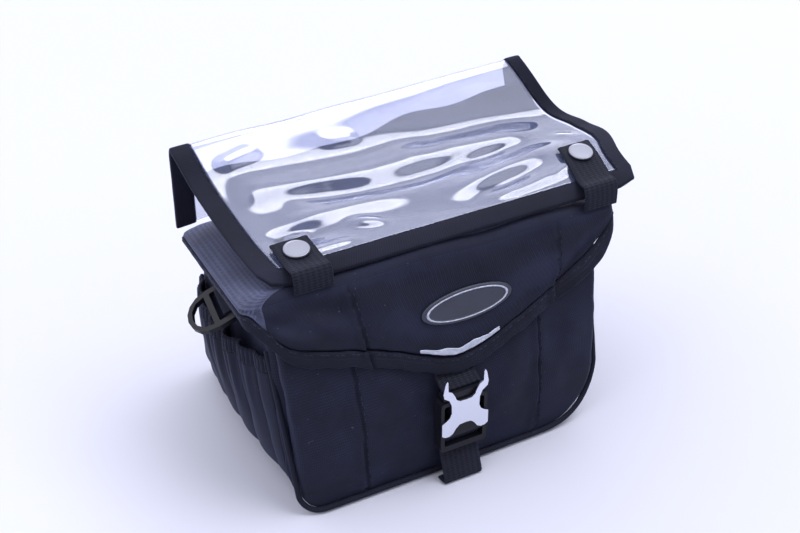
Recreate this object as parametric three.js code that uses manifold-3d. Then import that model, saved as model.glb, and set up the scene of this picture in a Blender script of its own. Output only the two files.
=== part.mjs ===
// Bicycle handlebar bag with a clear map case on its lid, closed by a strap buckle. Millimetres, +Z up,
// front face with the buckle towards -Y. Cloth pieces are drawn in a box-shaped space and the soft()
// function then gives them the slump, taper and bulge of the real bag.
import * as THREE from "three";
import { mergeVertices } from "three/addons/utils/BufferGeometryUtils.js";
import Module from "manifold-3d";

const wasm = await Module();
wasm.setup();

// Driving sizes
const BODY_WIDTH = 194;
const BODY_DEPTH = 159;
const BODY_RIGHT = 3;
const LID_TOP = 143;
const RIM_DROP = 7;
const RIM_HEIGHT = LID_TOP - RIM_DROP;
const CLOTH = 2;
const TAPE_THICK = 2.8;
const BODY_WALL = 2.5;
const CORNER_LEFT = 14;
const CORNER_RIGHT = 38;
const PANEL_EDGE = 4;
const GAP = 0.35;
const LID_WIDTH = 224;
const LID_SHIFT = 1;
const FLAP_CLEAR = 2.8;
const FLAP_LENGTH = 72.6;
const LID_SKIRT = 9;
const BINDING_WIDE = 9.5;
const BINDING_NARROW = 4.5;
const TAPER = 0.3;
const FLARE = 0.08;
const BACK_DROP = 16;
const FRONT_BULGE = 4;
const SIDE_BULGE = 3;
const PIPING_RADIUS = 1.7;
const POCKET_HEIGHT = 84;
const POCKET_BULGE = 10;
const ELASTIC_HEIGHT = 9;
const WEBBING = 24.5;
const WEB_THICK = 1.8;
const MAP_RISE = 53;
const MAP_TAPE = 12;
const RIGHT_TAPE = 10;
const MAP_SETBACK = 7.3;
const MAP_BACKSET = 22.3;
const MAP_REST = 3;
const VINYL = 1;
const CAP_DIAMETER = 15;
const PATCH_WIDTH = 56;
const PATCH_HEIGHT = 18;
const BUCKLE_WIDTH = 31;
const BUCKLE_THICK = 8;
const PLATE_WIDTH = 84;
const PLATE_HEIGHT = 44;

// Small helpers
const PI = Math.PI;
const V = (x, y, z) => new THREE.Vector3(x, y, z);
// Distance of a side wall from the middle plane; the right one stands out further.
const wallOut = (sign) => BODY_WIDTH / 2 + (sign > 0 ? BODY_RIGHT : 0);
const mix = (a, b, t) => a + (b - a) * t;
const clamp = THREE.MathUtils.clamp;
const degrees = THREE.MathUtils.degToRad;
const smooth = (t) => THREE.MathUtils.smoothstep(t, 0, 1);

// Value of an even table at share t, joined by smooth curves.
function along(table, t) {
  const at = clamp(t, 0, 1) * (table.length - 1);
  const i = Math.min(Math.floor(at), table.length - 2);
  const p = [table[Math.max(i - 1, 0)], table[i], table[i + 1], table[Math.min(i + 2, table.length - 1)]];
  const f = at - i;
  const bend = 2 * p[0] - 5 * p[1] + 4 * p[2] - p[3];
  const turn = 3 * p[1] - p[0] - 3 * p[2] + p[3];
  return p[1] + 0.5 * f * (p[2] - p[0] + f * (bend + f * turn));
}

// The shape of the soft bag: every cloth piece goes through this after it is built in its box.
function soft(p) {
  const t = clamp(p.z / LID_TOP, 0, 1);
  const across = clamp(p.x / (BODY_WIDTH / 2), -1, 1);
  const deep = clamp(p.y / (BODY_DEPTH / 2), -1, 1);
  const swell = Math.sin(PI * Math.sqrt(t)) ** 2;
  const front = FRONT_BULGE * swell * Math.cos((PI / 2) * across) * smooth(-deep);
  const side = SIDE_BULGE * swell * Math.cos((PI / 2) * deep) * Math.sign(across) * smooth(Math.abs(across));
  const y = p.y * (1 - TAPER * t * t) - front;
  const z = p.z - BACK_DROP * t * t * (p.y / BODY_DEPTH + 0.5);
  const flare = FLARE * t * (0.5 - p.y / BODY_DEPTH);
  return V(p.x * (1 + flare) + side, y, z);
}

const group = new THREE.Group();
group.name = "handlebar_bag";

// Adds a piece: welds it, turns it to face outwards and gives it its own material.
function piece(name, geometry, colour, roughness, metalness = 0) {
  geometry.deleteAttribute("normal");
  geometry.deleteAttribute("uv");
  const merged = mergeVertices(geometry, 1e-4);
  const at = merged.attributes.position;
  const index = merged.index.array;
  let volume = 0;
  for (let i = 0; i < index.length; i += 3) {
    const [a, b, c] = [0, 1, 2].map((k) => new THREE.Vector3().fromBufferAttribute(at, index[i + k]));
    volume += a.dot(b.cross(c));
  }
  if (volume < 0) {
    for (let i = 0; i < index.length; i += 3) [index[i + 1], index[i + 2]] = [index[i + 2], index[i + 1]];
  }
  merged.computeVertexNormals();
  const material = new THREE.MeshStandardMaterial({ color: colour, roughness, metalness });
  const mesh = new THREE.Mesh(merged, material);
  mesh.name = name;
  group.add(mesh);
  return mesh;
}

// Collects vertices and four-cornered faces.
class Skin {
  constructor() {
    this.points = [];
    this.faces = [];
  }
  add(p) {
    return this.points.push(p) - 1;
  }
  quad(a, b, c, d) {
    this.faces.push(a, b, c, a, c, d);
  }
  geometry(shape = (p) => p) {
    const geometry = new THREE.BufferGeometry().setFromPoints(this.points.map(shape));
    geometry.setIndex(this.faces);
    return geometry;
  }
}

// A slab of cloth: grid[row][column] is its middle surface, thick is its full thickness.
function slab(grid, thick) {
  const skin = new Skin();
  const rows = grid.length;
  const columns = grid[0].length;
  const ids = [-0.5, 0.5].map((half) =>
    grid.map((row, r) =>
      row.map((p, c) => {
        const down = grid[Math.min(r + 1, rows - 1)][c].clone().sub(grid[Math.max(r - 1, 0)][c]);
        const over = row[Math.min(c + 1, columns - 1)].clone().sub(row[Math.max(c - 1, 0)]);
        return skin.add(p.clone().addScaledVector(over.cross(down).normalize(), half * thick));
      }),
    ),
  );
  const [under, top] = ids;
  for (let r = 0; r + 1 < rows; r++) {
    for (let c = 0; c + 1 < columns; c++) {
      skin.quad(top[r][c], top[r + 1][c], top[r + 1][c + 1], top[r][c + 1]);
      skin.quad(under[r][c], under[r][c + 1], under[r + 1][c + 1], under[r + 1][c]);
    }
    skin.quad(top[r][0], under[r][0], under[r + 1][0], top[r + 1][0]);
    const e = columns - 1;
    skin.quad(top[r][e], top[r + 1][e], under[r + 1][e], under[r][e]);
  }
  for (let c = 0; c + 1 < columns; c++) {
    skin.quad(top[0][c], top[0][c + 1], under[0][c + 1], under[0][c]);
    const e = rows - 1;
    skin.quad(top[e][c], under[e][c], under[e][c + 1], top[e][c + 1]);
  }
  return skin;
}

// A bar with the same section all along: rings[i] are matching loops of points, closed joins the ends.
function bar(rings, closed) {
  const skin = new Skin();
  const ids = rings.map((ring) => ring.map((p) => skin.add(p)));
  const n = rings[0].length;
  const count = rings.length;
  for (let i = 0; i + (closed ? 0 : 1) < count; i++) {
    const a = ids[i];
    const b = ids[(i + 1) % count];
    for (let k = 0; k < n; k++) skin.quad(a[k], a[(k + 1) % n], b[(k + 1) % n], b[k]);
  }
  if (!closed) {
    for (const [ring, turned] of [[ids[0], true], [ids[count - 1], false]]) {
      for (let k = 1; k + 1 < n; k++) {
        skin.faces.push(ring[0], ring[turned ? k + 1 : k], ring[turned ? k : k + 1]);
      }
    }
  }
  return skin;
}

// Loops of points around the bag: the layout says how many steps each run of a loop has.
const LAYOUT = { front: 12, corner: 2, side: 8 };
const LOOP = 2 * (LAYOUT.front + LAYOUT.side) + 4 * LAYOUT.corner;

// A hollow with one open end. Loops run from the closed end to the open one, outer and inner alike.
function hollow(outer, inner) {
  const skin = new Skin();
  const { front, corner, side } = LAYOUT;
  const deep = side + 2 * corner;
  const wall = [outer, inner].map((loops) => loops.map((loop) => loop.map((p) => skin.add(p))));
  wall.forEach((ids, inside) => {
    const face = (a, b, c, d) => (inside ? skin.quad(d, c, b, a) : skin.quad(a, b, c, d));
    for (let k = 0; k + 1 < ids.length; k++) {
      for (let i = 0; i < LOOP; i++) {
        const j = (i + 1) % LOOP;
        face(ids[k][i], ids[k][j], ids[k + 1][j], ids[k + 1][i]);
      }
    }
    const loop = ids[0];
    const points = (inside ? inner : outer)[0];
    const cap = [];
    for (let m = 0; m <= deep; m++) {
      const left = (LOOP - m) % LOOP;
      const right = front + m;
      cap.push([]);
      for (let i = 0; i <= front; i++) {
        let id;
        if (m === 0) id = loop[i];
        else if (m === deep) id = loop[front + deep + (front - i)];
        else if (i === 0) id = loop[left];
        else if (i === front) id = loop[right];
        else id = skin.add(points[left].clone().lerp(points[right], i / front));
        cap[m].push(id);
      }
    }
    for (let m = 0; m < deep; m++) {
      for (let i = 0; i < front; i++) face(cap[m][i], cap[m + 1][i], cap[m + 1][i + 1], cap[m][i + 1]);
    }
  });
  const [a, b] = wall.map((ids) => ids[ids.length - 1]);
  for (let i = 0; i < LOOP; i++) {
    const j = (i + 1) % LOOP;
    skin.quad(a[i], a[j], b[j], b[i]);
  }
  return skin;
}

// Body: a padded cloth tub, its lower corners rounded more on the right than on the left
const ARC_STEPS = 5;
const WALL_STEPS = 7;
function bodyLoop(k, inset, floor) {
  const deep = BODY_DEPTH / 2 - inset;
  const edge = PANEL_EDGE - (inset ? PANEL_EDGE / 4 : 0);
  const turn = (Math.min(k, ARC_STEPS) / ARC_STEPS) * (PI / 2);
  const rise = Math.max(k - ARC_STEPS, 0) / WALL_STEPS;
  const ends = [[-1, CORNER_LEFT], [1, CORNER_RIGHT]].map(([sign, corner]) => {
    const r = corner - inset;
    const z = mix(floor + r * (1 - Math.cos(turn)), RIM_HEIGHT, rise);
    const n = V(sign * Math.sin(turn), 0, -Math.cos(turn));
    return { p: V(sign * (wallOut(sign) - inset - r * (1 - Math.sin(turn))), 0, z), n };
  });
  const turned = (end, y, share) => {
    const a = (share * PI) / 2;
    const p = end.p.clone().addScaledVector(end.n, edge * (Math.cos(a) - 1));
    p.y = y * (deep - edge + edge * Math.sin(a));
    return p;
  };
  const loop = [];
  const { front, corner, side } = LAYOUT;
  const [left, right] = ends;
  for (let i = 0; i <= front; i++) loop.push(turned(left, -1, 1).lerp(turned(right, -1, 1), i / front));
  for (let j = 1; j <= corner; j++) loop.push(turned(right, -1, 1 - j / corner));
  for (let s = 1; s <= side; s++) loop.push(turned(right, -1, 0).lerp(turned(right, 1, 0), s / side));
  for (let j = 1; j <= corner; j++) loop.push(turned(right, 1, j / corner));
  for (let i = 1; i <= front; i++) loop.push(turned(right, 1, 1).lerp(turned(left, 1, 1), i / front));
  for (let j = 1; j <= corner; j++) loop.push(turned(left, 1, 1 - j / corner));
  for (let s = 1; s <= side; s++) loop.push(turned(left, 1, 0).lerp(turned(left, -1, 0), s / side));
  for (let j = 1; j < corner; j++) loop.push(turned(left, -1, j / corner));
  return loop;
}
const bodyLoops = (inset, floor) =>
  Array.from({ length: ARC_STEPS + WALL_STEPS + 1 }, (_, k) => bodyLoop(k, inset, floor));
const tub = hollow(bodyLoops(0, 0), bodyLoops(BODY_WALL, BODY_WALL));
piece("body_shell", tub.geometry(soft), "#22263a", 0.85);

// Piping: a cord along the edge of the front panel, from side to side under the front
const PIPING_TOP = LID_TOP - 39;
const PIPING_SETBACK = 13;
const PIPING_STEPS = 9;
const PIPING_SIDES = 6;
const TURN_LEFT = 4;
const TURN_RIGHT = 6;
const LOW_STEPS = 10;
function cord(path, radius, sides) {
  const rings = path.map((p, i) => {
    const before = path[Math.max(i - 1, 0)];
    const after = path[Math.min(i + 1, path.length - 1)];
    const ahead = after.clone().sub(before).normalize();
    const u = V(0, 1, 0).addScaledVector(ahead, -ahead.y).normalize();
    const v = ahead.clone().cross(u);
    return Array.from({ length: sides }, (_, k) => {
      const a = (2 * PI * k) / sides;
      return p.clone().addScaledVector(u, radius * Math.cos(a)).addScaledVector(v, radius * Math.sin(a));
    });
  });
  return bar(rings, false);
}
// Angle in degrees by which the piping lies in front of the panel's lower edge.
const PIPING_LOW = 76;
function pipingPoint(sign, corner, turn, rise) {
  const n = V(sign * Math.sin(turn), 0, -Math.cos(turn));
  const z = mix(corner * (1 - Math.cos(turn)), PIPING_TOP, rise);
  const p = V(sign * (wallOut(sign) - corner * (1 - Math.sin(turn))), 0, z);
  const out = degrees(mix(PIPING_LOW, 0, smooth(turn / (PI / 2))));
  const reach = PANEL_EDGE + GAP + PIPING_RADIUS;
  p.addScaledVector(n, reach * Math.cos(out) - PANEL_EDGE);
  p.y = -(BODY_DEPTH / 2 - PANEL_EDGE) - reach * Math.sin(out) + PIPING_SETBACK * rise;
  return p;
}
const pipingPath = [];
const pipingSide = (sign, corner, k) => pipingPoint(sign, corner, PI / 2, k / PIPING_STEPS);
for (let k = PIPING_STEPS; k > 0; k--) pipingPath.push(pipingSide(-1, CORNER_LEFT, k));
const pipingTurn = (sign, corner, share) => pipingPoint(sign, corner, (PI / 2) * share, 0);
for (let k = TURN_LEFT; k >= 0; k--) pipingPath.push(pipingTurn(-1, CORNER_LEFT, k / TURN_LEFT));
for (let k = 1; k < LOW_STEPS; k++) {
  const ends = [pipingTurn(-1, CORNER_LEFT, 0), pipingTurn(1, CORNER_RIGHT, 0)];
  pipingPath.push(ends[0].lerp(ends[1], k / LOW_STEPS));
}
for (let k = 0; k <= TURN_RIGHT; k++) pipingPath.push(pipingTurn(1, CORNER_RIGHT, k / TURN_RIGHT));
for (let k = 1; k <= PIPING_STEPS; k++) pipingPath.push(pipingSide(1, CORNER_RIGHT, k));
piece("front_piping", cord(pipingPath, PIPING_RADIUS, PIPING_SIDES).geometry(soft), "#171a26", 0.75);

// Lid: a soft cover with short sides and a pointed flap down the front, and its bound edge
const LID_FRONT = BODY_DEPTH / 2 + FLAP_CLEAR + CLOTH;
const LID_BACK = BODY_DEPTH / 2 + FLAP_CLEAR + CLOTH;
// Drop of the flap's edge below the lid's top, from left to right, as shares of FLAP_LENGTH.
const FLAP_EDGE = [0.2, 0.53, 0.64, 0.716, 0.8, 0.916, 1, 0.964, 0.868, 0.75, 0.634, 0.503, 0.27];
const SHOULDER_ACROSS = 24;
const SHOULDER_DEEP = 8;
const SHOULDER_DROP = 5.5;
const LID_CORNER = 9;
const FLAP_TURN = 12;
function lidLoop(insetX, insetY, inward, height) {
  const left = LID_SHIFT - LID_WIDTH / 2 + insetX + inward;
  const right = LID_SHIFT + LID_WIDTH / 2 - insetX - inward;
  const near = -(LID_FRONT - insetY - inward);
  const far = LID_BACK - insetY - inward;
  const r = Math.max(LID_CORNER - inward - insetX / 3, LID_CORNER / 2);
  const { front, corner, side } = LAYOUT;
  const loop = [];
  const arc = (x, y, from, j) => {
    const a = degrees(from + (90 * j) / corner);
    loop.push([x + r * Math.cos(a), y + r * Math.sin(a)]);
  };
  const run = (x0, y0, x1, y1, first, last, steps) => {
    for (let i = first; i <= last; i++) loop.push([mix(x0, x1, i / steps), mix(y0, y1, i / steps)]);
  };
  run(left + r, near, right - r, near, 0, front, front);
  for (let j = 1; j <= corner; j++) arc(right - r, near + r, -90, j);
  run(right, near + r, right, far - r, 1, side, side);
  for (let j = 1; j <= corner; j++) arc(right - r, far - r, 0, j);
  run(right - r, far, left + r, far, 1, front, front);
  for (let j = 1; j <= corner; j++) arc(left + r, far - r, 90, j);
  run(left, far - r, left, near + r, 1, side, side);
  for (let j = 1; j < corner; j++) arc(left + r, near + r, 180, j);
  return loop.map(([x, y], i) => V(x, y, height(i)));
}
// The edge's height belongs to a place on the lid's outer line, and is the same through its thickness.
const lidPlan = lidLoop(0, 0, 0, () => 0);
// How far the lid reaches down at a point of its plan, without its binding.
const flapShare = (x) => clamp((x - LID_SHIFT) / LID_WIDTH + 0.5, 0, 1);
const onFlap = (y) => smooth(clamp((-y - LID_FRONT) / FLAP_TURN + 1, 0, 1));
const edgeDrop = (x, y) =>
  mix(LID_SKIRT, Math.max(FLAP_LENGTH * along(FLAP_EDGE, flapShare(x)), LID_SKIRT), onFlap(y));
const bindingHeight = (y) => mix(BINDING_NARROW, BINDING_WIDE, onFlap(y));
// Rounded edge of the lid: inset across, inset front to back and drop, as shares of the SHOULDER sizes.
const SHOULDER = [[1, 1, 0], [0.5, 0.375, 0.22], [0.167, 0.1, 0.58], [0, 0, 1]];
const SKIRT_ROWS = [0.25, 0.5, 0.75, 1];
const SKIRT_HIGH = LID_TOP - SHOULDER_DROP - CLOTH - GAP;
function lidLoops(inward) {
  const top = SHOULDER.map(([x, y, drop]) =>
    lidLoop(x * SHOULDER_ACROSS, y * SHOULDER_DEEP, inward, () => LID_TOP - inward - drop * SHOULDER_DROP),
  );
  const under = SKIRT_ROWS.map((share) =>
    lidLoop(0, 0, inward, (i) => {
      const { x, y } = lidPlan[i];
      const low = LID_TOP - edgeDrop(x, y) + bindingHeight(y) + GAP;
      return mix(LID_TOP - inward - SHOULDER_DROP, Math.min(low, SKIRT_HIGH), share);
    }),
  );
  return [...top, ...under];
}
piece("lid", hollow(lidLoops(0), lidLoops(CLOTH)).geometry(soft), "#2e3146", 0.85);

const extra = GAP / 2;
function bindingLoop(inward, drop) {
  return lidLoop(0, 0, inward, (i) => {
    const { x, y } = lidPlan[i];
    const low = LID_TOP - edgeDrop(x, y) + bindingHeight(y);
    return Math.min(low - 3 * GAP, SKIRT_HIGH - 2 * GAP) - drop(y);
  });
}
const bindingRings = [
  bindingLoop(-extra, () => 0),
  bindingLoop(-extra, bindingHeight),
  bindingLoop(CLOTH + extra, bindingHeight),
  bindingLoop(CLOTH + extra, () => 0),
];
const bindingSections = Array.from({ length: LOOP }, (_, i) => bindingRings.map((ring) => ring[i]));
piece("lid_binding", bar(bindingSections, true).geometry(soft), "#1d1f2c", 0.9);

// Reflective strip above the flap's binding, left of its point
const flapFace = (x, z, out) => V(x, -(LID_FRONT + out), z);
const bindTop = (x) => LID_TOP - FLAP_LENGTH * along(FLAP_EDGE, flapShare(x)) + BINDING_WIDE;
const STRIP_LEFT = -20;
const STRIP_RIGHT = 34;
const STRIP_HEIGHT = 7;
const STRIP_THICK = 0.8;
// Height of the strip's free part from left to right, as shares of STRIP_HEIGHT.
const STRIP_HIGH = [0.31, 0.40, 0.41, 0.60, 0.84, 0.74, 0.59, 0.80, 0.99, 0.77, 0.55, 0.65, 0.68];
const stripGrid = [0, 1].map((top) =>
  STRIP_HIGH.map((high, i) => {
    const x = mix(STRIP_LEFT, STRIP_RIGHT, i / (STRIP_HIGH.length - 1));
    return flapFace(x, bindTop(x) + 4 * GAP + top * high * STRIP_HEIGHT, GAP + STRIP_THICK / 2);
  }),
);
piece("reflective_strip", slab(stripGrid, STRIP_THICK).geometry(soft), "#d8dbe4", 0.35, 0.4);

// Oval patch on the flap: plain rubber with a raised rim
const PATCH_X = 11.5;
const PATCH_Z = LID_TOP - 34.5;
const PATCH_THICK = 2;
const PATCH_RIM = 0.7;
const PATCH_SPOKES = 32;
const PATCH_SLOPE = 0.02;
function ovalRing(share, out) {
  return Array.from({ length: PATCH_SPOKES }, (_, k) => {
    const a = (2 * PI * k) / PATCH_SPOKES;
    const x = PATCH_X + (PATCH_WIDTH / 2) * share * Math.cos(a);
    const z = PATCH_Z + (PATCH_HEIGHT / 2) * share * Math.sin(a) + (x - PATCH_X) * PATCH_SLOPE;
    return flapFace(x, z, GAP + out);
  });
}
// Rings of the patch from its back to its face: shares of the oval's size, and heights.
const PATCH_FACE = PATCH_THICK - PATCH_RIM;
const PATCH_RINGS = [
  [0.5, 0], [1, 0], [1, PATCH_FACE], [0.95, PATCH_THICK], [0.87, PATCH_THICK], [0.84, PATCH_FACE],
  [0.5, PATCH_FACE],
];
const patchRings = PATCH_RINGS.map(([share, out]) => ovalRing(share, out));
piece("oval_patch", bar(patchRings, false).geometry(soft), "#1c1e28", 0.55);

// Side pockets: gathered cloth held to the body, open at the top, each with an elastic band
const POCKET_FLOOR = 20;
const POCKET_FRONT = 57;
const POCKET_BACK = 74;
const POCKET_THICK = 1.8;
const FOLDS = 6;
const FOLD_DEPTH = 2.2;
const LOW_FOLD = 0.3;
const LOW_BELLY = 0.25;
const BELLY_ROUND = 0.7;
const POCKET_TILT = 3;
const POCKET_FLARE = 6;
const ELASTIC_THICK = 2.4;
const ELASTIC_CLEAR = 1;
const POCKET_ROWS = 6;
const POCKET_COLUMNS = 24;
const pocketReach = (s, t) => {
  const belly = Math.sin(PI * clamp(s, 0, 1)) ** BELLY_ROUND * mix(LOW_BELLY, 1, Math.sin((PI / 2) * t));
  const fold = FOLD_DEPTH * Math.cos(2 * PI * FOLDS * s) * Math.sin(PI * s) * mix(LOW_FOLD, 1, t);
  return POCKET_BULGE * belly + fold;
};
function pocketPoint(sign, s, t, lift) {
  const top = POCKET_HEIGHT + POCKET_TILT * (1 - 2 * s);
  const floor = sign < 0 ? POCKET_FLOOR : POCKET_FLOOR + CORNER_RIGHT - CORNER_LEFT;
  const front = -POCKET_FRONT - POCKET_FLARE * (1 - t);
  const z = mix(floor, top, t) + lift;
  const y = mix(front, POCKET_BACK, s);
  const x = sign * (wallOut(sign) + GAP + POCKET_THICK / 2 + Math.max(pocketReach(s, t), 0));
  return V(x, y, z);
}
for (const [side, sign] of [["left", -1], ["right", 1]]) {
  const grid = Array.from({ length: POCKET_ROWS + 1 }, (_, r) =>
    Array.from({ length: POCKET_COLUMNS + 1 }, (_, c) =>
      pocketPoint(sign, c / POCKET_COLUMNS, r / POCKET_ROWS, 0),
    ),
  );
  piece("side_pocket_" + side, slab(grid, POCKET_THICK).geometry(soft), "#232739", 0.85);
  const band = [0, 1].map((top) =>
    Array.from({ length: POCKET_COLUMNS + 1 }, (_, c) =>
      pocketPoint(sign, c / POCKET_COLUMNS, 1, ELASTIC_CLEAR + top * ELASTIC_HEIGHT),
    ),
  );
  piece("pocket_elastic_" + side, slab(band, ELASTIC_THICK).geometry(soft), "#1b1e2b", 0.9);
}

// Map case: a clear sheet that rises from the lid's front edge to a crest and hangs down behind
const MAP_FRONT = -(LID_FRONT - MAP_SETBACK);
const MAP_CREST = LID_BACK - MAP_BACKSET;
const MAP_FOLD = 5;
const FOLD_REACH = 7;
const MAP_TAIL = 4;
const RIGHT_TAIL = 26;
const TAIL_LEAN = 8;
// Edges of the sheet from front to crest, as shares of half the lid's width, and its height as shares of
// MAP_RISE.
const MAP_LEFT = [-0.86, -0.888, -0.921, -0.955, -0.995, -1.036];
const MAP_RIGHT = [1.17, 1.182, 1.24, 1.232, 1.16, 1.036];
const LEFT_RISE = [0.05, 0.13, 0.27, 0.46, 0.7, 1];
const RIGHT_RISE = [0.1, 0.26, 0.37, 0.42, 0.57, 1.16];
const MAP_TURN = 0.7;
const WAVE = 2.6;
const WAVE_COUNT = 2.5;
const WAVE_SKEW = 4;
const MAP_BEND = 0.3;
const BEND_TURN = 0.9;
const TAIL_OUT = 1.36;
// Point of the sheet: u goes across, v goes from the front edge over the crest to the end behind.
function mapPoint(u, v) {
  const f = clamp(v / MAP_TURN, 0, 1);
  const rise = mix(along(LEFT_RISE, f), along(RIGHT_RISE, f), u);
  const wave = WAVE * Math.sin(2 * PI * WAVE_COUNT * f + WAVE_SKEW * u);
  const waves = Math.sin(PI * f) * Math.sin(PI * u) * wave;
  const crest = MAP_RISE * mix(LEFT_RISE.at(-1), RIGHT_RISE.at(-1), u);
  const base = LID_TOP + MAP_REST;
  const x = (LID_WIDTH / 2) * mix(along(MAP_LEFT, f), along(MAP_RIGHT, f), u);
  if (v <= MAP_TURN) return V(x, mix(MAP_FRONT, MAP_CREST, f), base + MAP_RISE * rise + waves);
  const g = (v - MAP_TURN) / (1 - MAP_TURN);
  if (g < MAP_BEND) {
    const a = PI * BEND_TURN * (g / MAP_BEND);
    const y = MAP_CREST + FOLD_REACH * Math.sin(a / 2);
    return V(x, y, base + crest + (MAP_FOLD / 2) * (Math.sin(a) + Math.cos(a) - 1));
  }
  const h = (g - MAP_BEND) / (1 - MAP_BEND);
  const y = MAP_CREST + FOLD_REACH * mix(1, TAIL_OUT, h);
  const tail = LID_TOP + mix(MAP_TAIL, RIGHT_TAIL, u);
  return V(x + TAIL_LEAN * u * h, y, mix(base + crest - MAP_FOLD, tail, h));
}
const mapU = (u, v, mm) => {
  const a = mapPoint(0, v);
  const b = mapPoint(1, v);
  return u + mm / (b.x - a.x);
};
const MAP_ROWS = 18;
const MAP_COLUMNS = 10;
// The front tape's and the window's first row, as shares of the sheet's length.
const FRONT_TAPE = 0.055;
const WINDOW_ROW = 0.059;
const rowShare = (r) => mix(WINDOW_ROW, 1, r / MAP_ROWS);
const windowGrid = Array.from({ length: MAP_ROWS + 1 }, (_, r) => {
  const v = rowShare(r);
  const from = mapU(0, v, MAP_TAPE + GAP);
  const to = mapU(1, v, -RIGHT_TAPE - GAP);
  return Array.from({ length: MAP_COLUMNS + 1 }, (_, c) => mapPoint(mix(from, to, c / MAP_COLUMNS), v));
});
const mapWindow = slab(windowGrid, VINYL).geometry(soft);
piece("map_window", mapWindow, "#cfd6ea", 0.08);

// Backing of the map case: a dark cloth that hangs a little below the clear sheet, from behind its front
// tape to below the crest
const BACKING_THICK = 1.2;
const BACKING_DROP = 2.3;
const BACKING_SAG = 3.4;
const BACKING_ROWS = 8;
const BACKING_COLUMNS = 6;
// Its front edge, and its upper edge at the left and at the right, as shares of the sheet's length.
const BACKING_FRONT = 0.075;
const BACKING_LEFT = 0.575;
const BACKING_RIGHT = 0.65;
const backingGrid = Array.from({ length: BACKING_ROWS + 1 }, (_, r) =>
  Array.from({ length: BACKING_COLUMNS + 1 }, (_, c) => {
    const s = c / BACKING_COLUMNS;
    const v = mix(BACKING_FRONT, mix(BACKING_LEFT, BACKING_RIGHT, s), r / BACKING_ROWS);
    const u = mix(mapU(0, v, MAP_TAPE + GAP), mapU(1, v, -RIGHT_TAPE - GAP), s);
    return mapPoint(u, v).sub(V(0, 0, BACKING_DROP + BACKING_SAG * Math.sin(PI * s)));
  }),
);
piece("map_backing", slab(backingGrid, BACKING_THICK).geometry(soft), "#181a24", 0.9);

const TAPE_STEPS = 24;
const FRONT_STEPS = 14;
const FRONT_END = 0.015;
const CORNER_NUDGE = 0.4;
const tape = [[], []];
const tapeAt = (v, sign) => {
  const outer = sign < 0 ? 0 : 1;
  const inner = sign < 0 ? mapU(0, v, MAP_TAPE) : mapU(1, v, -RIGHT_TAPE);
  tape[0].push(mapPoint(outer, v));
  tape[1].push(mapPoint(inner, v));
};
for (let i = TAPE_STEPS; i >= 0; i--) tapeAt(mix(FRONT_TAPE, 1, i / TAPE_STEPS), -1);
for (let i = 0; i <= FRONT_STEPS; i++) {
  const s = i / FRONT_STEPS;
  const inside = mix(mapU(0, FRONT_TAPE, MAP_TAPE), mapU(1, FRONT_TAPE, -RIGHT_TAPE), s);
  tape[0].push(mapPoint(mix(FRONT_END, 1 - FRONT_END, s), 0));
  tape[1].push(mapPoint(inside, FRONT_TAPE));
}
for (let i = 0; i <= TAPE_STEPS; i++) tapeAt(mix(FRONT_TAPE, 1, i / TAPE_STEPS), 1);
// The tape's inner line turns the corner in one point, so its repeats are nudged apart there.
const nudge = (row, at, sign) => row[at].addScaledVector(V(sign, 0, 0), CORNER_NUDGE);
nudge(tape[1], TAPE_STEPS, -1);
nudge(tape[1], TAPE_STEPS + FRONT_STEPS + 2, 1);
piece("map_binding", slab(tape, TAPE_THICK).geometry(soft), "#20222f", 0.9);

// Snap tabs: short webbing tongues from the flap over the map case's front edge, each with a cap
const TAB_WIDTH = 20.5;
const TAB_STEPS = 12;
// Each tab: middle at the lid's edge and at its free end (x), and how far back the free end lies.
const TABS = { left: { near: -72, far: -74, reach: 34 }, right: { near: 101, far: 109.5, reach: 47 } };
const CAP_BACK = 12;
const TAB_DOWN = 3;
const TAB_BULGE = 2.6;
const TAB_SPREAD = 1.6;
const CAP_PROBE = 0.04;
const CAP_CLEAR = 0.6;
const uAt = (x, v) => (x - mapPoint(0, v).x) / (mapPoint(1, v).x - mapPoint(0, v).x);
function tabPoint(tab, side, s) {
  const down = TAB_DOWN / (TAB_DOWN + tab.reach);
  const clear = (TAPE_THICK + WEB_THICK) / 2 + 3 * GAP;
  const out = LID_FRONT + 2 * GAP + WEB_THICK / 2;
  const x = mix(tab.near, tab.far, clamp((s - down) / (1 - down), 0, 1)) + (side * TAB_WIDTH) / 2;
  const lift = mapPoint(uAt(x, 0), 0).z + clear;
  if (s < down) {
    const rise = s / down;
    const top = lift - TAB_BULGE;
    return V(x, -out - TAB_BULGE * smooth(rise * TAB_SPREAD), mix(LID_TOP - TAB_DOWN, top, rise));
  }
  const back = (s - down) / (1 - down);
  const y = mix(-out + GAP, MAP_FRONT + tab.reach, back);
  const v = (MAP_TURN * (y - MAP_FRONT)) / (MAP_CREST - MAP_FRONT);
  const on = mapPoint(uAt(x, Math.max(v, 0)), Math.max(v, 0));
  return V(x, y, on.z + clear);
}
const tabFrames = {};
for (const [side, tab] of Object.entries(TABS)) {
  const grid = Array.from({ length: TAB_STEPS + 1 }, (_, r) =>
    [-1, -0.5, 0, 0.5, 1].map((c) => tabPoint(tab, c, r / TAB_STEPS)),
  );
  piece("snap_tab_" + side, slab(grid, WEB_THICK).geometry(soft), "#1b1f2c", 0.9);
  const at = 1 - CAP_BACK / (TAB_DOWN + tab.reach);
  const spot = soft(tabPoint(tab, 0, at));
  const ahead = soft(tabPoint(tab, 0, at + CAP_PROBE)).sub(spot).normalize();
  const over = soft(tabPoint(tab, 0.4, at)).sub(spot).normalize();
  const up = over.clone().cross(ahead).normalize();
  const frame = new THREE.Matrix4().makeBasis(over, up, over.clone().cross(up).normalize());
  frame.setPosition(spot.addScaledVector(up, WEB_THICK / 2 + CAP_CLEAR));
  tabFrames[side] = frame;
}

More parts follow.
